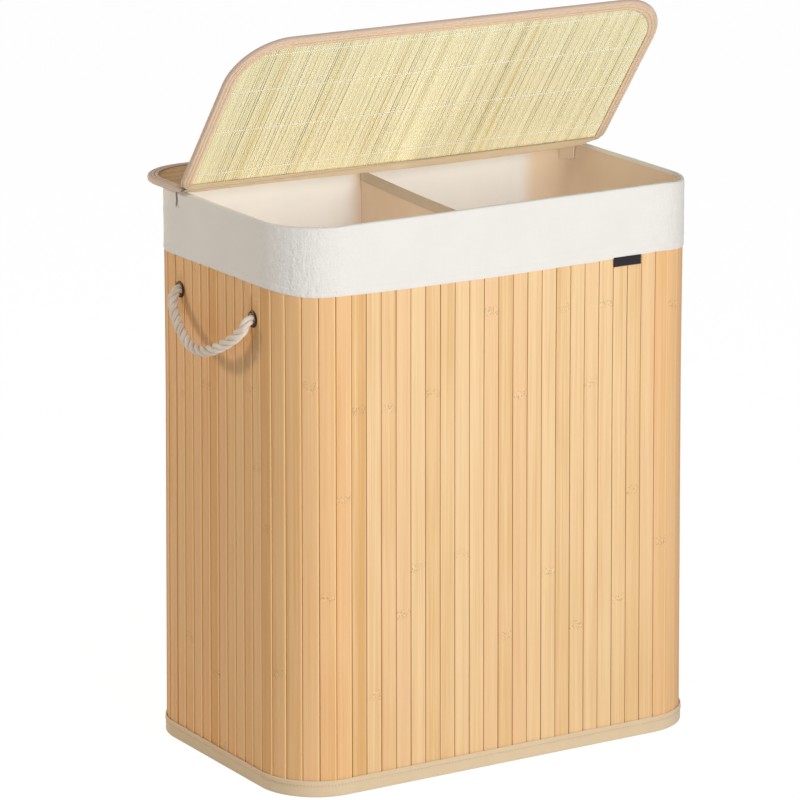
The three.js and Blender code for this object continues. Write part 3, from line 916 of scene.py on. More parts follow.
def cut_holes(piece, reach):
    """Cuts the eyelet holes that lie within reach of the piece's middle, measured along the wall."""
    middle = sum((v.co for v in piece.data.vertices), Vector()) / len(piece.data.vertices)
    for cutter, (side, end) in zip(hole_cutters, eyelet_places):
        near = abs(middle.y - end * eyelet_out) < reach and middle.x * side > 0
        if near and abs(middle.x) > body_length / 2 - 0.01:
            apply_modifier(piece, "BOOLEAN", operation="DIFFERENCE", solver="EXACT", object=cutter)


def bend_slat(slat, bow, twist, lean):
    half = slat_length / 2
    for vertex in slat.data.vertices:
        share = vertex.co.z / half
        vertex.co.y += bow * (1 - share ** 2) + twist * share * vertex.co.x
        vertex.co.x += lean * share


slat_pieces = []
for number in range(slat_count):
    distance = (number + 1) * slat_pitch - first_slat_shift
    place, heading, stretch = wall_place(distance)
    slat = copy_of(master_slat, f"slat_{number + 1:02d}")
    bend_slat(slat, draw.uniform(0, 0.00015), draw.uniform(-0.008, 0.008), draw.uniform(-0.00015, 0.00015))
    tone = draw.uniform(0.55, 0.9) if draw.random() < 0.9 else draw.uniform(0.1, 0.35)
    set_values(
        slat, tone=tone, rubbed=rubbed_shares.get(stretch, corner_rubbed_share),
        shift=draw.random(), blush=draw.random() ** 2)
    has_node = draw.random() < 0.85
    node_height = draw.uniform(-0.3, 0.26)
    set_values(slat, node_height=node_height if has_node else no_node)
    turn = Matrix.Translation((place.x, place.y, (slat_foot + slat_top) / 2)) @ Matrix.Rotation(
        heading - slat_turn, 4, "Z")
    slat.data.transform(turn)
    cut_holes(slat, slat_pitch / 2 + hole_radius)
    smooth(slat, 25)
    finish_piece(slat, "hamper", "bamboo", bamboo, stretch)
    slat_pieces.append(slat)
discard(master_slat)
print("placed", len(slat_pieces), "slats")

# %% [markdown]
# ## Skins of cloth
#
# Cuff, liner, bindings and tapes are sheets of a known section that follow a line. Such a sheet is drawn ring
# by ring in mesh code, because only then does each point know how far along the cloth it lies: the UV map is
# in metres and no weave is stretched. Wrinkles are added to the rings before they are joined up.

# %% Cloth skin
def lengths_along(points):
    """The running length at each point of a closed loop, with the whole length at the end."""
    lengths = [0.0]
    for before, after in zip(points, [*points[1:], points[0]]):
        lengths.append(lengths[-1] + (Vector(after) - Vector(before)).length)
    return lengths


def skin(name, rings, along, around, closed=True, values=None):
    """A closed surface over rings of points. along and around are the UV of the rings and of their points."""
    size = len(rings[0])
    faces = []
    uvs = []
    for number in range(len(rings) if closed else len(rings) - 1):
        after = (number + 1) % len(rings)
        for corner in range(size):
            beside = (corner + 1) % size
            faces.append((
                number * size + corner, after * size + corner, after * size + beside, number * size + beside))
            uvs += [along[number], around[corner], along[number + 1], around[corner]]
            uvs += [along[number + 1], around[corner + 1], along[number], around[corner + 1]]
    if not closed:
        last = (len(rings) - 1) * size
        faces += [tuple(range(size)), tuple(range(last, last + size))]
        for corner in range(size):
            uvs += [along[0], around[corner]]
        for corner in range(size):
            uvs += [along[-1], around[corner]]
    piece = add_mesh(name, [point for ring in rings for point in ring], faces)
    piece.data.uv_layers.new(name="cloth").data.foreach_set("uv", uvs)
    for key, numbers in (values or {}).items():
        piece.data.attributes.new(key, "FLOAT", "POINT").data.foreach_set("value", numbers)
    face_outward(piece)
    smooth(piece, 50)
    return piece


def band(name, section, step, shape=None, values=None):
    """A band of cloth right round the wall line, from a closed loop of (inset, height) points.
    shape(distance, inset, height) may move a point, and values holds functions of the same three."""
    count = round(wall_length / step)
    distances = [wall_length * number / count for number in range(count)]
    rings = []
    numbers = {key: [] for key in (values or {})}
    for distance in distances:
        place, heading, _ = wall_place(distance)
        inward = Vector((-math.sin(heading), math.cos(heading)))
        ring = []
        for inset, height in section:
            for key, value_at in (values or {}).items():
                numbers[key].append(value_at(distance, inset, height))
            if shape:
                inset, height = shape(distance, inset, height)
            spot = place + inset * inward
            ring.append((spot.x, spot.y, height))
        rings.append(ring)
    around = lengths_along([(*p, 0) for p in section])
    return skin(name, rings, [*distances, wall_length], around, values=numbers)


def upright(inset, low, high, step):
    """Points of a straight piece of section, from the low to the high end or back."""
    count = max(1, round(abs(high - low) / step))
    return [(inset, low + (high - low) * number / count) for number in range(count + 1)]


def nearness(value, low, high):
    """1 up to low, 0 from high on, smooth between."""
    share = max(0.0, min(1.0, (high - value) / (high - low)))
    return share * share * (3 - 2 * share)


def ripple(point, across, up, seed=0.0):
    """Noise from -1 to 1 whose features are about across wide and up tall, in metres."""
    return noise.noise(Vector((point[0] / across + seed, point[1] / across, point[2] / up)))


corner_middles = [
    flat_x + arc_length / 2, flat_x + arc_length + flat_y + arc_length / 2,
    2 * flat_x + flat_y + 2.5 * arc_length, 2 * flat_x + 2 * flat_y + 3.5 * arc_length,
]


def gap_between(distance, other):
    """How far apart two distances along the closed wall line are."""
    return abs((distance - other + wall_length / 2) % wall_length - wall_length / 2)


def corner_share(distance, reach):
    """1 in the middle of a round corner, falling to 0 at reach from it."""
    return nearness(min(gap_between(distance, middle) for middle in corner_middles), 0.25 * reach, reach)


print("corner middles at", [round(middle, 3) for middle in corner_middles])

# %% [markdown]
# ## Backing cloth and bottom tape
#
# The slats are glued on a backing cloth, which shows as a thin line in each gap. Round the foot a folded tape
# is sewn over the slat ends: its fold leaves a low step under the top edge, and a row of stitches runs below it.

# %% Backing and bottom tape
backing_face = slat_thickness + 0.00005
backing_back = slat_thickness + 0.0006
backing_foot = slat_foot + 0.0005
backing_top = slat_top - 0.0005
backing = band("backing_cloth", [
    (backing_face, backing_foot), (backing_face, backing_top),
    (backing_back, backing_top), (backing_back, backing_foot),
], 0.006)
for cutter in hole_cutters:
    apply_modifier(backing, "BOOLEAN", operation="DIFFERENCE", solver="EXACT", object=cutter)
finish_piece(backing, "hamper", "bamboo", backing_cloth, "wall_front")

tape_face = tape_low.y + body_depth / 2
tape_top = tape_high.z
tape_joint = flat_x / 2 - 0.007
stitch_rise = 0.00045
tape_stitch_height = 0.0128


def wavy_tape(distance, inset, height):
    spot = inside_wall(distance, 0, 0)
    sway = ripple(spot, 0.05, 1, 3.0)
    lift = 0.0003 * ripple(spot, 0.035, 1, 9.0) * (height / tape_top)
    joint = 0.0005 * nearness(abs(distance - tape_joint), 0, 0.0025)
    return inset + 0.00012 * sway * (inset < tape_face / 2) + joint, height + lift


tape = band("bottom_tape_cloth", [
    (tape_face + 0.0010, 0.0002), (tape_face + 0.0003, 0.0000), (tape_face, 0.0006),
    *upright(tape_face, 0.0030, 0.0106, 0.0019),
    (tape_face - 0.0001, 0.0112), (tape_face - 0.0004, 0.0116),
    *upright(tape_face - 0.0004, 0.0124, 0.0166, 0.0014),
    (tape_face - 0.0002, 0.0176), (tape_face + 0.0003, 0.0180), (tape_face + 0.0008, 0.0178),
    (tape_face + 0.0010, 0.0170),
], 0.0045, wavy_tape)
finish_piece(tape, "hamper", "tape_cloth", tape_cloth, "bottom_tape")
print("backing and tape:", len(backing.data.polygons), len(tape.data.polygons), "faces")

# %% [markdown]
# ## Stitches
#
# A machine stitch is a short thread that dips into the cloth at both ends. One is modelled from a thin
# cylinder, bent and pointed at its ends, and every row of stitches is made of copies of its mesh.

# %% Stitch rows
machine_pitch = 0.0036
machine_thread = 0.0006
stitch_taper = 0.55
stitch_dip = 0.45


def make_stitch(name, length, thickness):
    """A stitch along +X on the plane z = 0."""
    stitch = add_shape(
        "cylinder", name, vertices=6, radius=thickness / 2, depth=length, rotation=(0, math.pi / 2, 0))
    edit(stitch)
    choose(stitch, "edges", lambda part, middle: abs(middle.x) < length / 8)
    bpy.ops.mesh.subdivide(number_cuts=3)
    leave_edit()
    for vertex in stitch.data.vertices:
        share = abs(vertex.co.x) / (length / 2)
        vertex.co.y *= 1 - stitch_taper * share ** 2
        vertex.co.z = vertex.co.z * (1 - stitch_taper * share ** 2) - stitch_dip * thickness * share ** 2
    return stitch


def joined_copies(name, master, placements, angle):
    """One mesh of many copies. Each placement turns a point of the master into the same point of its copy."""
    verts = [vertex.co.copy() for vertex in master.data.vertices]
    polygons = [tuple(polygon.vertices) for polygon in master.data.polygons]
    discard(master)
    points = [placement(spot) for placement in placements for spot in verts]
    faces = [
        tuple(number * len(verts) + index for index in polygon)
        for number in range(len(placements)) for polygon in polygons
    ]
    copies = add_mesh(name, points, faces)
    smooth(copies, angle)
    return copies


def stitch_placement(spot, direction, normal):
    direction = direction.normalized()
    normal = (normal - direction * normal.dot(direction)).normalized()
    across = normal.cross(direction)
    return lambda v: spot + direction * v.x + across * v.y + normal * v.z


def stitch_row(name, places, length, thickness):
    """Copies of one stitch at each (point, direction, outward normal), joined in one mesh."""
    stitch = make_stitch(name + "_one", length, thickness)
    return joined_copies(name, stitch, [stitch_placement(*place) for place in places], 60)


def wall_stitches(inset, height, spacing):
    """Places for stitches that run round the wall line."""
    count = round(wall_length / spacing)
    places = []
    for number in range(count):
        place, heading, _ = wall_place(wall_length * number / count)
        inward = Vector((-math.sin(heading), math.cos(heading), 0))
        spot = Vector((place.x, place.y, height)) + inset * inward
        places.append((spot, Vector((math.cos(heading), math.sin(heading), 0)), -inward))
    return places


tape_stitches = stitch_row(
    "bottom_tape_stitches", wall_stitches(tape_face - stitch_rise, tape_stitch_height, machine_pitch),
    0.75 * machine_pitch, machine_thread)
finish_piece(tape_stitches, "hamper", "tape_cloth", tan_thread)
print("tape stitches:", len(tape_stitches.data.polygons), "faces")

# %% [markdown]
# ## The cuff
#
# The cuff is one strip of linen-like cloth, sewn into a ring and turned over the rim. Its lower edge has a
# hem 7 mm tall. The cloth is taut along the flat sides and crinkles where it is pulled round the corners,
# so the wrinkles grow with the nearness of a corner.

# %% Cuff
cuff_foot = cuff_low.z
cuff_face = cuff_low.y + body_depth / 2 + 0.0014
cuff_seam = flat_x / 2 - 0.004
cuff_step = 0.0028
front_drop = 0.0028
right_drop = 0.0038
left_rise = 0.0022
corner_crinkle = 0.00045


def hem_lift(distance):
    """The hem isn't level: it hangs along the front and round its right corner, and is drawn up on the left."""
    right_corner = -right_drop * nearness(gap_between(distance, flat_x + 0.7 * arc_length), 0.02, 0.075)
    if distance < flat_x:
        return min(right_corner, -front_drop * math.sin(math.pi * distance / flat_x) ** 0.8)
    if distance < flat_x + 2 * arc_length:
        return right_corner
    left_end = wall_length - arc_length
    left_start = left_end - flat_y
    if distance > left_start:
        share = min(1.0, (distance - left_start) / flat_y)
        return left_rise * (1 + share) * nearness(distance, left_end, wall_length - 0.3 * arc_length)
    return left_rise * nearness(left_start - distance, 0, arc_length)


def cuff_shape(distance, inset, height):
    spot = inside_wall(distance, 0, height)
    corner = corner_share(distance, 0.085)
    fine = ripple(spot, 0.0045, 0.016, 1.0) + 0.6 * ripple(spot, 0.0025, 0.007, 5.0)
    broad = ripple(spot, 0.07, 0.12, 2.0)
    free = nearness(height, rim_height - 0.006, rim_height)
    change = free * (corner_crinkle * corner * fine + 0.0003 * broad + 0.00005 * fine)
    seam = 0.0005 * nearness(abs(gap_between(distance, cuff_seam) - 0.0012), 0, 0.0016) * free
    lift = 0.00035 * ripple(spot, 0.045, 9, 4.0)
    lift += hem_lift(distance) * (rim_height - height) / (rim_height - cuff_foot)
    if height > rim_height - 0.01:
        lift = 0.0003 * ripple(spot, 0.06, 9, 6.0) - 0.0003
    return inset - abs(change) * 0.4 - change * 0.6 + seam, height + lift


def cuff_crease(distance, inset, height):
    spot = inside_wall(distance, 0, height)
    patch = 0.5 + 0.5 * ripple(spot, 0.05, 0.03, 8.0)
    return corner_share(distance, 0.09) * (0.55 + 0.45 * patch)


cuff = band("cuff_cloth", [
    (cuff_face + 0.0006, cuff_foot + 0.0003), (cuff_face + 0.0001, cuff_foot),
    (cuff_face - 0.0002, cuff_foot + 0.0005),
    *upright(cuff_face - 0.0003, cuff_foot + 0.0016, cuff_foot + 0.0064, 0.0016),
    (cuff_face - 0.0002, cuff_foot + 0.0071), (cuff_face, cuff_foot + 0.0075),
    *upright(cuff_face, cuff_foot + 0.0090, rim_height - 0.0042, 0.0024),
    (cuff_face, rim_height - 0.0028), (cuff_face + 0.0002, rim_height - 0.0014),
    (cuff_face + 0.0007, rim_height - 0.0005), (cuff_face + 0.0015, rim_height),
    (cuff_face + 0.0034, rim_height), (cuff_face + 0.0050, rim_height - 0.0003),
    (cuff_face + 0.0059, rim_height - 0.0012), (cuff_face + 0.0062, rim_height - 0.0030),
    (cuff_face + 0.0055, rim_height - 0.0031), (cuff_face + 0.0050, rim_height - 0.0016),
    (cuff_face + 0.0018, rim_height - 0.0012), (cuff_face + 0.0012, rim_height - 0.0022),
    *upright(cuff_face + 0.0012, rim_height - 0.0040, cuff_foot + 0.0010, 0.0200),
], cuff_step, cuff_shape, {"crease": cuff_crease})
finish_piece(cuff, "hamper", "linen", linen, "cuff")
print("cuff:", len(cuff.data.polygons), "faces")

# %% [markdown]
# ## The liner
#
# The liner is sewn on at the rim and hangs inside. It is cream, with painted tan shade on its sides, and it is
# loose: it bridges the corners, swells over the four rope knots and falls in soft folds between them.

# %% Liner
liner_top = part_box("liner")[1].z
liner_floor = 0.0054
floor_thickness = 0.0008
floor_inset = 0.009
base_thickness = 0.001
base_inset = 0.0047
fold_depth = 0.0045
corner_slack = 0.0075
knot_bulge = 0.0098
knot_bulge_reach = 0.03
seam_front = -0.009
seam_rear = 0.0115
seam_distances = [seam_front + flat_x / 2, flat_x + 2 * arc_length + flat_y + flat_x / 2 - seam_rear]
side_middles = [flat_x + arc_length + flat_y / 2, 2 * flat_x + 3 * arc_length + 1.5 * flat_y]
knot_distances = [middle + end * eyelet_out for middle in side_middles for end in (-1, 1)]


def liner_swell(distance, height):
    """How far the liner stands further in than the section says, at a place on the wall."""
    spot = inside_wall(distance, 0, height)
    free = (1 - nearness(rim_height - height, 0.008, 0.095)) * (1 - nearness(height, liner_floor, 0.08))
    seam = min(gap_between(distance, other) for other in seam_distances)
    loose = free * (1 - nearness(seam, 0.004, 0.05))
    folds = 0.5 + 0.5 * ripple(spot, 0.026, 0.25, 12.0)
    swell = fold_depth * loose * folds + corner_slack * free * corner_share(distance, 0.08)
    for other in knot_distances:
        reach = math.hypot(gap_between(distance, other), height - eyelet_height)
        swell = max(swell, knot_bulge * math.cos(min(1, reach / knot_bulge_reach) * math.pi / 2) ** 2)
    return swell


def liner_shape(distance, inset, height):
    return inset + liner_swell(distance, height), height


def tan_share(distance, inset, height):
    """Share of the painted tan shade: 1 on the side panels, 0 on the front and rear ones, with soft changes in
    the corners and about half beside the divider's seams.
    """
    front_end = gap_between(distance, flat_x / 2)
    rear_end = gap_between(distance, 1.5 * flat_x + 2 * arc_length + flat_y)
    panel = nearness(min(front_end, rear_end), flat_x / 2 + 0.012, flat_x / 2 + 0.062)
    seam = min(gap_between(distance, other) for other in seam_distances)
    return 1 - panel * (1 - 0.55 * nearness(seam, 0.002, 0.028))


liner_walls = band("liner_walls", [
    (0.0043, rim_height - 0.0027), (0.0046, rim_height - 0.0034), (0.0048, rim_height - 0.0070),
    (0.0052, rim_height - 0.0120), (0.0057, rim_height - 0.0180), (0.0063, liner_top),
    (0.0068, liner_top - 0.005), (0.0075, liner_top - 0.011), (0.0081, liner_top - 0.018),
    *upright(0.0085, liner_top - 0.025, liner_floor + 0.0008, 0.0090),
    *upright(0.0078, liner_floor + 0.0008, liner_top - 0.025, 0.0180), (0.0074, liner_top - 0.016),
    (0.0064, liner_top - 0.008), (0.0056, liner_top), (0.0049, rim_height - 0.0180),
    (0.0042, rim_height - 0.0060), (0.0040, rim_height - 0.0030),
], 0.0050, liner_shape, {"tan_share": tan_share})
finish_piece(liner_walls, "hamper", "liner_cloth", liner_cotton, "liner")
print("liner:", len(liner_walls.data.polygons), "faces")

# %% [markdown]
# A flat panel with round corners is a grid whose corner squares are mapped onto quarter discs.
# The map leaves the grid's lines evenly spaced, and Solidify gives the panel its thickness.

# %% Flat panels
def make_panel(name, inset, foot, thickness, step, wave=0.0):
    half_x, half_y, radius = body_length / 2 - inset, body_depth / 2 - inset, corner_radius - inset
    panel = add_shape(
        "grid", name, x_subdivisions=round(2 * half_x / step), y_subdivisions=round(2 * half_y / step), size=2)
    for vertex in panel.data.vertices:
        x, y = vertex.co.x * half_x, vertex.co.y * half_y
        past_x, past_y = abs(x) - (half_x - radius), abs(y) - (half_y - radius)
        if past_x > 0 and past_y > 0:
            a, b = past_x / radius, past_y / radius
            x = math.copysign(half_x - radius + radius * a * math.sqrt(1 - b * b / 2), x)
            y = math.copysign(half_y - radius + radius * b * math.sqrt(1 - a * a / 2), y)
        vertex.co = (x, y, foot + wave * (0.5 + 0.5 * ripple((x, y, 0), 0.06, 1)))
    apply_modifier(panel, "SOLIDIFY", thickness=thickness, offset=1)
    set_uv(panel, lambda co: (co.x, co.y))
    smooth(panel, 40)
    return panel


liner_panel = make_panel(
    "liner_floor", floor_inset, liner_floor - floor_thickness, floor_thickness, step=0.012, wave=0.0006)
# The floor gets a share of 0.35 of the painted tan shade
set_values(liner_panel, tan_share=0.35)
finish_piece(liner_panel, "hamper", "liner_cloth", liner_cotton, "liner")
base_panel = make_panel("base_cloth_panel", base_inset, 0.0, base_thickness, 0.015)
finish_piece(base_panel, "hamper", "linen", tape_cloth, "base_cloth")
print("floor and base:", len(liner_panel.data.polygons), len(base_panel.data.polygons), "faces")

# %% [markdown]
# ## Divider
#
# The divider is a doubled cloth across the middle, sewn to the liner at the front and rear and to its floor.
# Its rear seam sits a little to the right of the middle, as sewn. The hem is a tape folded over its top edge.

# %% Divider
divider_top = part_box("divider_hem")[1].z
divider_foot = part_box("divider")[0].z
divider_end_inset = 0.0087
divider_run = body_depth - 2 * divider_end_inset
divider_half = 0.0008
hem_half = 0.0014
hem_height = 0.0117
hem_sag = 0.0012
hem_stitch_count = 76


def slack_at(share):
    """How loosely the divider hangs: 0 at both seams, 1 halfway between them."""
    return share * (1 - share) * 4


def divider_x(share, y, height):
    """It runs slantwise from seam to seam, is sewn on straight at the front, and waves where it is slack."""
    slack = slack_at(share)
    lean = seam_front + (seam_rear - seam_front) * max(0.0, (share - 0.12) / 0.88)
    wave = 0.0022 * slack * ripple((0, y, height), 0.09, 0.16, 30.0) * nearness(height, 0.45, 0.61)
    return lean + wave + 0.0012 * slack * ripple((0, y, height), 0.13, 0.3, 33.0)


def divider_rings(half_thickness, foot, top, rows):
    """Rings round the thickness of the divider, from its front seam to its rear one."""
    rings = []
    lengths = []
    count = 60
    for number in range(count + 1):
        share = number / count
        left = []
        right = []
        for row in range(rows + 1):
            height = foot + (top - foot) * row / rows
            front = -body_depth / 2 + divider_end_inset + liner_swell(seam_distances[0], height)
            rear = body_depth / 2 - divider_end_inset - liner_swell(seam_distances[1], height)
            y = front + (rear - front) * share
            x = divider_x(share, y, height)
            drop = hem_sag * slack_at(share) * nearness(top - height, 0, 0.1)
            left.append((x - half_thickness, y, height - drop))
            right.append((x + half_thickness, y, height - drop))
        rings.append(left + right[::-1])
        lengths.append(divider_run * share)
    return rings, lengths


rings, lengths = divider_rings(divider_half, divider_foot, divider_top - 0.0012, 70)
divider = skin("divider_cloth", rings, lengths, lengths_along(rings[0]), closed=False)
# The divider gets the full painted tan shade
set_values(divider, tan_share=1.0)
finish_piece(divider, "hamper", "liner_cloth", liner_cotton, "divider")
rings, lengths = divider_rings(hem_half, divider_top - hem_height, divider_top, 8)
hem = skin("divider_hem_tape", rings, lengths, lengths_along(rings[0]), closed=False)
apply_modifier(hem, "BEVEL", width=0.0004, segments=2, limit_method="ANGLE", angle_limit=math.radians(60))
finish_piece(hem, "hamper", "binding", tan_twill, "divider_hem")
hem_rows = []
for half in (-1, 1):
    for number in range(hem_stitch_count):
        share = (number + 0.5) / hem_stitch_count
        y = -body_depth / 2 + 0.0095 + (body_depth - 0.019) * share
        height = divider_top - hem_height + 0.0016
        spot = Vector((divider_x(share, y, height) + half * hem_half, y, height - hem_sag * slack_at(share)))
        hem_rows.append((spot, Vector((0, 1, 0)), Vector((half, 0, 0))))
hem_stitches = stitch_row("divider_hem_stitches", hem_rows, 0.0028, 0.0005)
finish_piece(hem_stitches, "hamper", "binding", tan_thread)
print("divider:", len(divider.data.polygons), "faces, hem", round(hem_height * 1000), "mm tall")

# %% [markdown]
# ## Tabs, ties and tag
#
# Small flat pieces of tape start as cubes at their size. Their edges are rounded with a bevel, and a few cuts
# let them curve like cloth instead of lying like board.

# %% Small tapes
tab_width = 0.025
tape_edge = 0.0003
tie_sway = 0.0004


def make_tape_piece(name, low, high, edge, cuts, curve):
    low, high = Vector(low), Vector(high)
    piece = add_shape("cube", name, high - low, size=1, location=(low + high) / 2)
    edit(piece)
    longest = max(range(3), key=lambda axis: high[axis] - low[axis])
    choose(piece, "edges", lambda part, middle: abs(
        part.verts[0].co[longest] - part.verts[1].co[longest]) > (high - low)[longest] / 2)
    bpy.ops.mesh.subdivide(number_cuts=cuts)
    leave_edit()
    apply_modifier(piece, "BEVEL", width=edge, segments=2, limit_method="ANGLE", angle_limit=math.radians(60))
    set_uv(piece, lambda co: (co.x + co.y, co.z))
    for vertex in piece.data.vertices:
        vertex.co = curve(vertex.co)
    smooth(piece, 50)
    return piece


def make_tab(side):
    """A flat loop of tape, 25 mm wide, across the start of the rear corner. Its edges are thick and frayed."""
    low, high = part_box(f"liner_tab_{side_names[side]}")
    turn = math.radians(7)
    face = corner_radius - 0.0062
    half = tab_width / 2

    def hang(co):
        """Thickens the tab's border, and lets its foot stand off the liner and hang a little askew."""
        at_foot = nearness(co.z, low.z, high.z)
        border = max(nearness(half - abs(co.y), 0.0010, 0.0026), nearness(co.z - low.z, 0.0008, 0.0024))
        return co + Vector((-0.0007 * border - 0.0010 * at_foot, 0, 0.0022 * (co.y / half) * at_foot * -side))

    tab = make_tape_piece(
        f"cloth_tab_{side_names[side]}", (face - 0.0012, -half, low.z + 0.0006), (face, half, high.z),
        0.0004, 14, hang)
    tab.data.transform(Matrix.Translation((side * flat_x / 2, flat_y / 2, -0.003)) @ Matrix.Rotation(
        turn if side > 0 else math.pi - turn, 4, "Z"))
    return tab


for side in (-1, 1):
    tab = make_tab(side)
    finish_piece(tab, "hamper", "liner_cloth", tab_tape, f"liner_tab_{side_names[side]}")
    name = f"lid_tie_{side_names[side]}"
    low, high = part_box(name)
    tie = make_tape_piece(
        f"tie_{side_names[side]}", low + Vector((0, 0.0006, 0)), high - Vector((0, 0.0006, 0)), tape_edge, 12,
        lambda co: co + Vector((-side * 0.0008, tie_sway * math.sin((co.z - 0.6) * 500), 0)))
    finish_piece(tie, "hamper", "binding", tie_cloth, name)
    ends = [
        (Vector((side * (body_length / 2 + 0.0015), high.y + out, low.z - drop)), Vector((0, 1, 0)),
         Vector((side, 0, 0)))
        for out, drop in ((0.0006, 0.0016), (-0.0052, 0.0008))
    ]
    knots = stitch_row(f"tie_stitches_{side_names[side]}", ends, 0.0012, 0.0009)
    finish_piece(knots, "hamper", "binding", tie_cloth)

low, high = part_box("blank_tag")
tag = make_tape_piece(
    "tag", low, high, tape_edge, 10,
    lambda co: co + Vector((0, tie_sway * math.sin((co.x - 0.132) * 90), 0)))
finish_piece(tag, "hamper", "black_tape", tag_cloth, "blank_tag")
print("tabs, ties and tag are made")

# %% [markdown]
# ## The lid
#
# Both parts of the lid are drawn flat, in front of the fold line with their top face at height 0 and the
# free edge towards -Y, and then put in place: the rear part is turned half round, the front part raised.

# %% Lid outline
front_place = Matrix.Translation((0, fold_place, fold_height)) @ Matrix.Rotation(-lid_open_angle, 4, "X")
rear_place = Matrix.Translation((0, fold_place, fold_height)) @ Matrix.Rotation(math.pi, 4, "Z")
lid_parts = [
    ("front", "lid", lid_front_depth, front_place),
    ("rear", "hamper", lid_rear_depth, rear_place),
]
fold_gap = 0.0004
fold_corner = 0.012
board_inset = 0.0009


def arc(middle, reach_x, reach_y, start, steps):
    """Points of a quarter turn from the start angle, without its last point."""
    turns = [start + math.pi / 2 * number / steps for number in range(steps)]
    return [Vector((middle[0] + reach_x * math.cos(a), middle[1] + reach_y * math.sin(a), 0)) for a in turns]


def straight(start, end, count):
    """Points of a straight run, without its last point."""
    return [Vector(start).lerp(Vector(end), number / count).to_3d() for number in range(count)]


def lid_outline(depth, inset, step=0.008, fold_share=1.0):
    """The lid's outline, counter-clockwise from the left end of the fold. The inset at the fold may be less."""
    half = lid_length / 2 - inset
    radius = lid_corner_radius - inset
    low = -depth + inset
    fold = -fold_gap - inset * fold_share
    small_x = max(fold_corner - inset, 0.001)
    small_y = max(fold_corner - inset * fold_share, 0.001)
    side_count = max(2, round((depth - lid_corner_radius) / step))
    flat_count = round((lid_length - 0.126) / step)
    fold_count = round(lid_length / step)
    return [
        *arc((-half + small_x, fold - small_y), small_x, small_y, math.pi / 2, 6),
        *straight((-half, fold - small_y), (-half, low + radius), side_count),
        *arc((-half + radius, low + radius), radius, radius, math.pi, 14),
        *straight((-half + radius, low), (half - radius, low), flat_count),
        *arc((half - radius, low + radius), radius, radius, 1.5 * math.pi, 14),
        *straight((half, low + radius), (half, fold - small_y), side_count),
        *arc((half - small_x, fold - small_y), small_x, small_y, 0, 6),
        *straight((half - small_x, fold), (-half + small_x, fold), fold_count),
    ]


print("lid outline:", len(lid_outline(lid_front_depth, 0)), "points")

# %% [markdown]
# ### Reeds
#
# The lid's inner face is a mat of fine split reeds, laid side by side from the fold to the free edge.
# One reed is a slim cylinder pressed to a half-round. Its copies are cut to the lid's outline and joined,
# and each carries its own tone.

# %% Reed material
def reed_finish():
    finish = Finish("split_reed")
    across, along, _ = finish.split(finish.uv())
    tone = finish.value("tone")
    shift = finish.value("shift")
    streak = finish.grain(across * 900 + shift * 50, along * 14, shift * 90, 3.0, 0.6)
    cloud = finish.grain(shift * 40, along * 22, shift * 17, 2.0, 0.5)
    share = (tone + (streak - 0.5) * 0.25 + (cloud - 0.5) * 0.2).between(0.0, 1.0)
    colour = finish.mix(share, paint(228, 215, 162), paint(245, 239, 203))
    marks = (finish.grain(shift * 71, along * 60, shift * 5, 1.0, 0.5)).between(0.72, 0.8)
    colour = finish.tint(colour, 1 - marks * 0.18)
    return finish.show(colour, 0.6 + streak * 0.15, streak - marks * 0.5, 0.00005, 0.3)


reed = reed_finish()
print("made", reed.name)

# %% Reed mats
reed_pitch = 0.0028
reed_inset = 0.0012
reed_back = -0.0048
reed_thickness = 0.00165
reed_cut = 0.12
reed_count = round((lid_length - 0.002) / reed_pitch)
reed_draw = random.Random(7)


def make_reed(name):
    """A half-round reed one metre long along Y from y = 0 to -1, with its back on z = 0 and crown at -Z."""
    piece = add_shape(
        "cylinder", name, vertices=12, radius=0.5, depth=1, location=(0, -0.5, 0), rotation=(math.pi / 2, 0, 0))
    edit(piece)
    bpy.ops.mesh.select_all(action="SELECT")
    bpy.ops.mesh.bisect(plane_co=(0, 0, reed_cut), plane_no=(0, 0, 1), clear_outer=True, use_fill=True)
    bpy.ops.mesh.select_all(action="DESELECT")
    choose(piece, "edges", lambda part, middle: abs(part.verts[0].co.y - part.verts[1].co.y) > 0.5)
    bpy.ops.mesh.subdivide(number_cuts=5)
    leave_edit()
    return piece


def free_edge(depth, x, inset):
    """The lid outline's -Y edge at x, inset from the outline."""
    half = lid_length / 2 - inset
    radius = lid_corner_radius - inset
    past = max(0.0, abs(x) - (half - radius))
    return -depth + inset + radius - math.sqrt(max(0.0, radius ** 2 - past ** 2))


def reed_placement(x, near, far, width, thick, bow):
    """Puts a reed's point at its place in the mat, from the fold (near) to the free edge (far)."""
    return lambda v: Vector((
        x + v.x * width + bow * math.sin(math.pi * -v.y), near + (far - near) * -v.y,
        reed_back + (v.z - reed_cut) * thick))


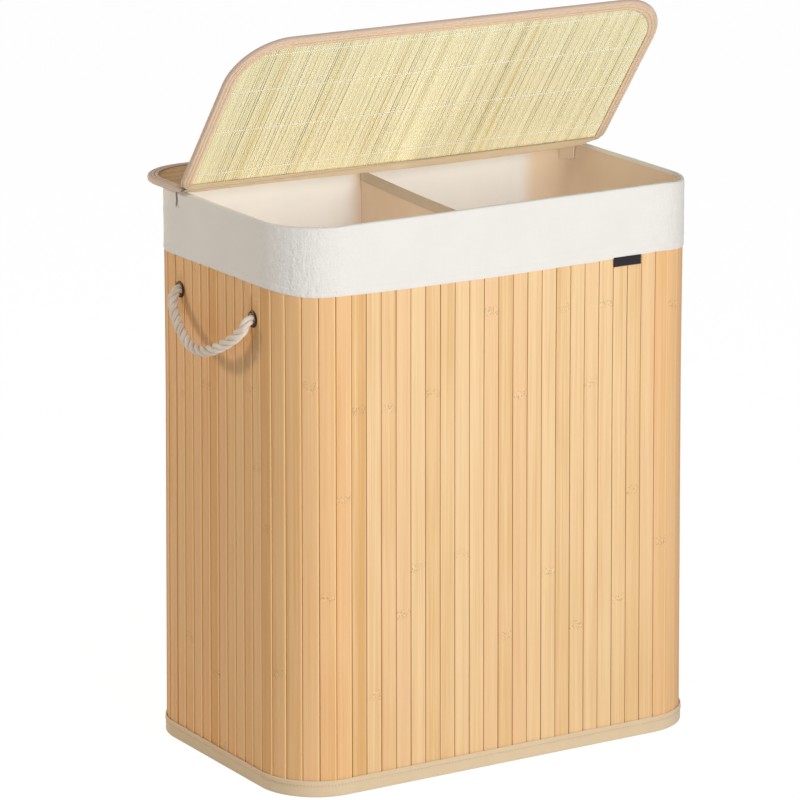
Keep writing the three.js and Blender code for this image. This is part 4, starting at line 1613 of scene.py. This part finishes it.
def make_reed_mat(part, depth):
    master = make_reed("master_reed")
    verts = [vertex.co.copy() for vertex in master.data.vertices]
    placements, tones, shifts, flat = [], [], [], []
    for number in range(reed_count):
        x = (number - (reed_count - 1) / 2) * reed_pitch
        past = max(0.0, abs(x) + reed_pitch / 2 - (lid_length / 2 - reed_inset - fold_corner))
        if past > fold_corner - 0.001:
            continue
        near = -fold_gap - reed_inset - fold_corner + math.sqrt(fold_corner ** 2 - past ** 2)
        far = free_edge(depth, abs(x) + reed_pitch / 2, reed_inset)
        if near - far < 0.01:
            continue
        width = reed_pitch * (reed_draw.uniform(0.93, 0.98) if reed_draw.random() < 0.88 else 0.80)
        thick = reed_thickness * reed_draw.uniform(0.85, 1.0)
        placements.append(reed_placement(x, near, far, width, thick, reed_draw.uniform(-0.00025, 0.00025)))
        tones += [reed_draw.uniform(0.50, 0.80) if reed_draw.random() < 0.95 else 0.2] * len(verts)
        shifts += [reed_draw.random()] * len(verts)
        flat += [(v.x * width + v.z * thick, -v.y * (near - far)) for v in verts]
    mat = joined_copies(f"reeds_{part}", master, placements, 50)
    for name, numbers in (("tone", tones), ("shift", shifts)):
        mat.data.attributes.new(name, "FLOAT", "POINT").data.foreach_set("value", numbers)
    layer = mat.data.uv_layers.new(name="cloth")
    for loop in mat.data.loops:
        layer.data[loop.index].uv = flat[loop.vertex_index]
    return mat


for part, body, depth, place in lid_parts:
    mat = make_reed_mat(part, depth)
    mat.data.transform(place)
    finish_piece(mat, body, "reed", reed, f"lid_{part}_reed_mat")
    print(mat.name, len(mat.data.polygons), "faces")

# %% [markdown]
# Rows of white thread hold the reeds together. Each stitch crosses one reed, a little proud of its crown.

# %% Reed stitches
stitch_rows = {"front": (0.023, 0.089, 0.150, 0.204), "rear": (0.030, 0.084)}
row_inset = 0.0125
row_height = -0.00628
for part, body, depth, place in lid_parts:
    spots = []
    for row in stitch_rows[part]:
        for number in range(reed_count):
            x = (number - (reed_count - 1) / 2) * reed_pitch
            if free_edge(depth, x, row_inset) > -row or abs(x) > lid_length / 2 - row_inset:
                continue
            sway = 0.0006 * ripple((x, row, 0), 0.05, 1, 3.0)
            spots.append((Vector((x, -row + sway, row_height)), Vector((1, 0.12, 0)), Vector((0, 0, -1))))
    row = stitch_row(f"reed_stitches_{part}", spots, 0.0026, 0.0013)
    row.data.transform(place)
    finish_piece(row, body, "reed", white_thread)
    print(row.name, len(spots), "stitches")

# %% [markdown]
# ### Lid slats
#
# The lid's outer face carries wider slats of the same bamboo along its length. Each is cut to the lid's
# round outline with a Boolean, because the corners cut some of them on a slant.

# %% Lid slats
lid_slat_pitch = 0.0182
lid_slat_thickness = 0.0014
lid_slat_back = -0.0018
lid_slat_edge = 0.0005
lid_slat_cuts = 9
lid_slat_draw = random.Random(19)


def make_limit(depth, inset):
    """A solid of the lid's outline, for cutting its slats to length."""
    line = lid_outline(depth, inset)
    limit = add_mesh("lid_limit", [(spot.x, spot.y, 0.0) for spot in line], [tuple(range(len(line)))])
    apply_modifier(limit, "SOLIDIFY", thickness=0.04, offset=0)
    face_outward(limit)
    return limit


def make_lid_slats(part, body, depth, place):
    limit = make_limit(depth, board_inset)
    room = depth - fold_gap - 0.0018
    count = math.floor((room + slat_gap) / lid_slat_pitch)
    start = (depth + fold_gap - count * lid_slat_pitch) / 2
    for number in range(count):
        slat = make_strip(
            f"lid_slat_{part}_{number + 1:02d}", lid_slat_pitch - slat_gap, lid_slat_thickness, lid_length,
            lid_slat_edge, lid_slat_cuts)
        set_values(
            slat, tone=lid_slat_draw.betavariate(2.2, 1.6), rubbed=0.0, shift=lid_slat_draw.random(),
            blush=lid_slat_draw.random() ** 2, node_height=lid_slat_draw.uniform(-0.2, 0.2))
        lay_down = Matrix(((0, 0, 1, 0), (1, 0, 0, 0), (0, -1, 0, 0), (0, 0, 0, 1)))
        middle = -(start + (number + 0.5) * lid_slat_pitch)
        slat.data.transform(Matrix.Translation((0, middle, lid_slat_back)) @ lay_down)
        apply_modifier(slat, "BOOLEAN", operation="INTERSECT", solver="EXACT", object=limit)
        slat.data.transform(place)
        smooth(slat, 25)
        finish_piece(slat, body, "bamboo", bamboo, f"lid_{part}_slats")
    discard(limit)
    return count


for part, body, depth, place in lid_parts:
    print(part, "lid part:", make_lid_slats(part, body, depth, place), "slats")

# %% [markdown]
# ### Lid bindings
#
# A tape is folded round the edge of each part and sewn through. The rear part's is painted paler, as painted
# light on the part that the raised front part shades.
# Near its inner border the tape's own hem makes a ridge on both faces. The section is swept along the outline
# at many insets, so the corners turn true.

# %% Lid bindings
binding_top = -0.0009
binding_foot = -0.0069
binding_width = 0.012
tape_thickness = 0.0006
hem_groove = 0.0080
edge_groove = 0.0040
fold_share = 5 / 12
widest_fold = 0.0080
narrowest_fold = 0.0016


def binding_finish():
    finish = Finish("binding_tape", sheen_weight=0.15, sheen_roughness=0.5)
    along, up, _ = finish.split(finish.uv())
    threads = finish.grain(along * 1100, up * 300, 0.0, 2.0, 0.6)
    cross = finish.grain(along * 160, up * 900, 4.0, 3.0, 0.6)
    share = ((threads + cross) * 0.9 - 0.4).between(0.1, 0.9)
    colour = finish.mix(share, paint(217, 186, 153), paint(238, 212, 183))
    # Painted light: the rear part's binding is paler
    colour = finish.mix(finish.value("faded") * 0.75, colour, paint(248, 224, 204))
    colour = finish.mix(finish.value("at_fold") * 0.8, colour, paint(204, 185, 150))
    # Painted shade on the rolled outer edge of the tape
    colour = finish.mix(finish.value("at_edge") * 0.6, colour, paint(214, 190, 176))
    # Painted shade in the grooves of the tape's hem
    colour = finish.tint(colour, 1 - finish.value("groove") * 0.36)
    return finish.show(colour, 0.86 + threads * 0.1, threads * 0.6 + cross * 0.6, 0.0002, 0.6)


def mirrored(half):
    """A half section of (inset, height, groove) points with its mirror image about the tape's middle height."""
    return half + [(inset, binding_top + binding_foot - height, groove) for inset, height, groove in half[::-1]]


def binding_section():
    """Points round the folded tape, from its inner border on top to the one below, and back inside the fold."""
    outer = [(binding_width, -tape_thickness, 0.0), (binding_width, -0.0001, 0.0), (0.0112, 0.0003, 0.0)]
    outer += [(0.0098, 0.0004, 0.0), (0.0086, 0.0002, 0.0), (hem_groove, -0.0003, 1.0), (0.0074, 0.0002, 0.0)]
    outer += [(0.0060, 0.0004, 0.0), (0.0046, 0.0002, 0.0), (edge_groove, -0.0003, 1.0), (0.0034, 0.0, 0.0)]
    outer += [(0.0022, 0.0, 0.0), (0.0013, -0.0002, 0.0), (0.0004, -0.0009, 0.0), (0.0, -0.0022, 0.0)]
    inner = [(0.0040, tape_thickness, 0.0), (0.0016, tape_thickness + 0.0004, 0.0), (0.0007, 0.0024, 0.0)]
    return (
        mirrored([(inset, binding_top + rise, groove) for inset, rise, groove in outer])
        + mirrored([(inset, binding_foot + rise, groove) for inset, rise, groove in inner])
    )


def fold_width(x):
    """The binding's width at the fold, where it was sewn slantwise, wide on the left and narrow on the right."""
    return max(narrowest_fold, min(widest_fold, 0.0050 - 0.0235 * (x + 0.107)))


def make_binding(part, depth):
    section = binding_section()
    loops = {inset: lid_outline(depth, inset, fold_share=fold_share) for inset, _, _ in section}
    edge = loops[0.0]
    rings = []
    numbers = {"groove": [], "at_fold": [], "at_edge": []}
    for number, place in enumerate(edge):
        ring = []
        at_fold = nearness(-place.y, 0.0015, 0.014)
        at_free = nearness(place.y + depth, 0.012, 0.05)
        for inset, height, groove in section:
            spot = loops[inset][number].copy()
            if part == "front" and height < binding_top - 0.003:
                change = 1 + (fold_width(spot.x) / (binding_width * fold_share) - 1) * at_fold
                spot.y = -fold_gap + (spot.y + fold_gap) * change
            puff = 0.0002 * ripple((spot.x, spot.y, height), 0.03, 0.02, 15.0)
            puff *= 1 if height > (binding_top + binding_foot) / 2 else -1
            ring.append((spot.x, spot.y, height + puff))
            numbers["groove"].append(groove * (1 - at_fold) * (1 - 0.75 * at_free))
            numbers["at_fold"].append(at_fold)
            numbers["at_edge"].append(nearness(inset, 0.0006, 0.0022))
        rings.append(ring)
    along = lengths_along(edge)
    return skin(
        f"binding_{part}", rings, along, lengths_along([(p[0], p[1], 0) for p in section]), True, numbers)


def binding_stitches(part, depth):
    """Stitches along the hem's groove, on both faces."""
    line = lid_outline(depth, hem_groove, 0.0015, fold_share)
    places = []
    walked = 0.0
    for before, after in zip(line, [*line[1:], line[0]]):
        walked += (after - before).length
        if walked < machine_pitch:
            continue
        walked -= machine_pitch
        for normal, height in ((1, binding_top - 0.0001), (-1, binding_foot + 0.0001)):
            places.append((Vector((after.x, after.y, height)), after - before, Vector((0, 0, normal))))
    return stitch_row(f"binding_stitches_{part}", places, 0.75 * machine_pitch, machine_thread)


def make_board(part, depth):
    """The stiff board inside a lid part, with the lid's round outline."""
    low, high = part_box("lid_rear_board")
    line = lid_outline(depth, board_inset)
    foot = low.z - fold_height
    panel = add_mesh(f"board_{part}", [(spot.x, spot.y, foot) for spot in line], [tuple(range(len(line)))])
    apply_modifier(panel, "SOLIDIFY", thickness=high.z - low.z, offset=1)
    apply_modifier(panel, "BEVEL", width=0.0002, segments=2, limit_method="ANGLE", angle_limit=math.radians(60))
    smooth(panel, 30)
    return panel


binding_tape = binding_finish()
for part, body, depth, place in lid_parts:
    piece = make_binding(part, depth)
    # The rear binding gets the painted light
    set_values(piece, faded=1.0 if part == "rear" else 0.0)
    piece.data.transform(place)
    finish_piece(piece, body, "binding", binding_tape, f"lid_{part}_binding")
    stitches = binding_stitches(part, depth)
    stitches.data.transform(place)
    finish_piece(stitches, body, "binding", tan_thread)
    panel = make_board(part, depth)
    panel.data.transform(place)
    finish_piece(panel, body, "board", board, f"lid_{part}_board")
    print(piece.name, len(piece.data.polygons), "faces")

# %% [markdown]
# ### The fold
#
# A tape 26 mm wide is sewn over both parts and is the lid's only hinge. It is one cloth, so its points follow
# the rear part before the fold, the front part after it, and turn smoothly in between. A second, slack tape
# closes the fold from inside.

# %% Fold tape
fold_half_length = lid_length / 2 - 0.006
lining_rear_out = 0.0040
lining_front_out = fold_gap + 0.0012


def fold_skin(name, step, ring_at):
    """A strip along the fold, from ring_at(x), the points round it at x."""
    count = round(lid_length / step)
    shares = [number / count for number in range(count + 1)]
    rings = [ring_at(fold_half_length * (2 * share - 1)) for share in shares]
    return skin(
        name, rings, [lid_length * share for share in shares], lengths_along(rings[count // 2]), closed=False)


def make_fold_tape():
    outs = (0.0016, 0.0040, 0.0080, 0.0120, 0.0126)
    profile = []
    for top in (True, False):
        lift = 0.0 if top else -tape_thickness
        rear = [Vector((fold_place + out, fold_height + lift)) for out in outs[::-1]]
        front = []
        for out in outs:
            spot = front_place @ Vector((0, -out, lift))
            front.append(Vector((spot.y, spot.z)))
        middle = [Vector((fold_place, fold_height + lift * 1.1 - 0.0002))]
        run = rear + middle + front
        profile += run if top else run[::-1]
    return fold_skin("fold_tape", 0.008, lambda x: [(x, spot.x, spot.y) for spot in profile])


def lining_ring(x):
    """The inner tape of the fold. It is slack, so it sags into the opening, most of all right of the middle."""
    upper = front_place @ Vector((0, -lining_front_out, binding_foot - 0.0003))
    lower = Vector((0, fold_place + lining_rear_out, fold_height + binding_foot - 0.0003))
    bulge = nearness(abs(x), lid_length / 2 - 0.035, lid_length / 2)
    sag = (0.0020 + 0.0042 * nearness(abs(x - 0.11), 0.02, 0.32)) * bulge
    sag += 0.0003 * ripple((x, 0, 0), 0.04, 1, 21.0)
    # Each point is (share of the way down, its place behind that line, its drop)
    drops = [
        (0, -0.0004, 0.0004 * bulge), (0.3, -0.0012, 0.55 * sag), (0.62, -0.0014, 0.95 * sag),
        (0.85, 0.0004, sag), (1, 0, 0.0006),
    ]
    face = [upper.lerp(lower, share) + Vector((0, behind, -drop)) for share, behind, drop in drops]
    back = [spot + Vector((0, 0.0005, tape_thickness)) for spot in face[::-1]]
    return [(x, spot.y, spot.z) for spot in face + back]


fold_tape = make_fold_tape()
fold_tape.data.materials.append(binding_tape)
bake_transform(fold_tape)
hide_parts("lid_rear_fold_tape", "lid_front_fold_tape")
lining = fold_skin("fold_lining", 0.006, lining_ring)
set_values(lining, at_fold=1.0)
lining.data.materials.append(binding_tape)
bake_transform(lining)
print("fold tape and lining:", len(fold_tape.data.polygons), len(lining.data.polygons), "faces")

# %% [markdown]
# ### Settling
#
# A cloth-backed wall is never quite square. The base board holds its foot a little wider than its top, and the
# right side of the rim hangs some millimetres lower than the left. Both are put in at the end, on the points of
# the wall, its tape, the cuff, the liner, the base cloth and the divider alike, so that they stay together.

# %% Settle the body
foot_spread = 0.0105
spread_height = 0.42
rim_sag = 0.0046


def settle_point(co):
    spread = 1 + foot_spread * max(0.0, 1 - co.z / spread_height)
    at_right = nearness(body_length / 2 - co.x, 0.012, 0.062)
    at_rear = nearness(co.y, 0.085, 0.16)
    sag = rim_sag * at_right * (0.4 + 0.6 * at_rear) * nearness(rim_height - co.z, 0.0, 0.055)
    return Vector((co.x * spread, co.y * (2 * spread - 1), co.z - sag))


settled = [*slat_pieces, backing, tape, tape_stitches, cuff, liner_walls, liner_panel, base_panel, divider]
for piece in settled:
    for vertex in piece.data.vertices:
        vertex.co = settle_point(vertex.co)
    piece.data.update()
print("settled", len(settled), "pieces")

# %% [markdown]
# ## Finishes for the solids that stay
#
# Boards, washers and support frames are right as plain solids, so they only get their materials.

# %% Carried-over solids
kept = {"base_board": board, "support_frame_left": steel, "support_frame_right": steel}
for side, end in eyelet_places:
    kept[f"eyelet_washer_{side_names[side]}_{end_names[end]}"] = steel
for name, material in kept.items():
    solid = bpy.data.objects[name]
    solid.data.materials.clear()
    solid.data.materials.append(material)
print("finished", len(kept), "solids")

# %% Sheets
for panel, inset, held in ((liner_panel, floor_inset, "laid"), (base_panel, base_inset, "stretched")):
    width, depth, radius = body_length - 2 * inset, body_depth - 2 * inset, corner_radius - inset
    width * depth - (4 - math.pi) * radius ** 2
for part, _, depth, _ in lid_parts:
    outline = lid_outline(depth, 0.0, fold_share=fold_share)
    lengths_along(outline)[-1]
for side in side_names.values():
    low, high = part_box(f"liner_tab_{side}")

# %% [markdown]
# ## Stage and light
#
# The floor and the backdrop look white to the camera, but light the hamper only as a pale studio would.
# A broad lamp in front is the key, low enough to shine into the open hamper, and a weaker one behind on the left
# throws the rope's soft shadow. A small lamp down in each bin stands for the light that thin cloth lets through.

# %% Stage and light
def white_to_camera(tree, surface, strength, share):
    """Mixes a plain white emission into a surface, for the camera's own rays."""
    path = tree.nodes.new("ShaderNodeLightPath")
    glow = tree.nodes.new("ShaderNodeEmission")
    glow.inputs["Strength"].default_value = strength
    mixed = tree.nodes.new("ShaderNodeMixShader")
    part = tree.nodes.new("ShaderNodeMath")
    part.operation = "MULTIPLY"
    part.inputs[1].default_value = share
    tree.links.new(path.outputs["Is Camera Ray"], part.inputs[0])
    tree.links.new(part.outputs[0], mixed.inputs[0])
    tree.links.new(surface, mixed.inputs[1])
    tree.links.new(glow.outputs[0], mixed.inputs[2])
    return mixed.outputs[0]


def make_floor():
    floor = add_shape("plane", "studio_floor", size=60, location=(0, 0, -0.0002))
    material = bpy.data.materials.new("studio_floor")
    material.use_nodes = True
    tree = material.node_tree
    shader = tree.nodes["Principled BSDF"]
    shader.inputs["Base Color"].default_value = (0.8, 0.8, 0.8, 1)
    shader.inputs["Roughness"].default_value = 0.9
    surface = white_to_camera(tree, shader.outputs[0], strength=1.07, share=0.9)
    tree.links.new(surface, tree.nodes["Material Output"].inputs["Surface"])
    floor.data.materials.append(material)


def make_world(level):
    world = bpy.data.worlds.new("studio")
    world.use_nodes = True
    bpy.context.scene.world = world
    tree = world.node_tree
    sky = tree.nodes["Background"]
    sky.inputs["Color"].default_value = (1, 1, 1, 1)
    sky.inputs["Strength"].default_value = level
    surface = white_to_camera(tree, sky.outputs[0], strength=1.0, share=1.0)
    tree.links.new(surface, tree.nodes["World Output"].inputs["Surface"])


def add_lamp(name, place, backward, size, power, colour=(1, 1, 1)):
    """A square lamp at a place, shining away from the direction backward."""
    bpy.ops.object.light_add(type="AREA", location=place)
    lamp = bpy.context.object
    lamp.name = name
    lamp.rotation_euler = backward.to_track_quat("Z", "Y").to_euler()
    lamp.data.size = size
    lamp.data.energy = power
    lamp.data.color = colour
    return lamp


def aimed_lamp(name, azimuth, elevation, distance, **settings):
    """A lamp aimed at the hamper's middle. Azimuth 0 is in front, and 90 on the right."""
    a, e = math.radians(azimuth), math.radians(elevation)
    direction = Vector((math.sin(a) * math.cos(e), -math.cos(a) * math.cos(e), math.sin(e)))
    add_lamp(name, aim_point + distance * direction, direction, **settings)


make_floor()
make_world(level=0.286)
aimed_lamp("key_lamp", azimuth=0, elevation=17, distance=3.2, size=1.0, power=57)
aimed_lamp(
    "left_lamp", azimuth=-135, elevation=24, distance=2.6, size=0.36, power=21.5, colour=(1.0, 0.88, 0.74))
for name, x, power in (("bin_lamp_left", -0.125, 0.35), ("bin_lamp_right", 0.135, 0.31)):
    lamp = add_lamp(name, (x, -0.03, 0.30), Vector((0, 0, -1)), size=0.16, power=power)
    lamp.visible_camera = False
bpy.context.scene.view_settings.view_transform = "Standard"
print("studio is lit")

# %% [markdown]
# ## Finish
#
# The cylinders that cut the holes were only tools, so they go.

# %% Finish
for cutter in hole_cutters:
    discard(cutter)
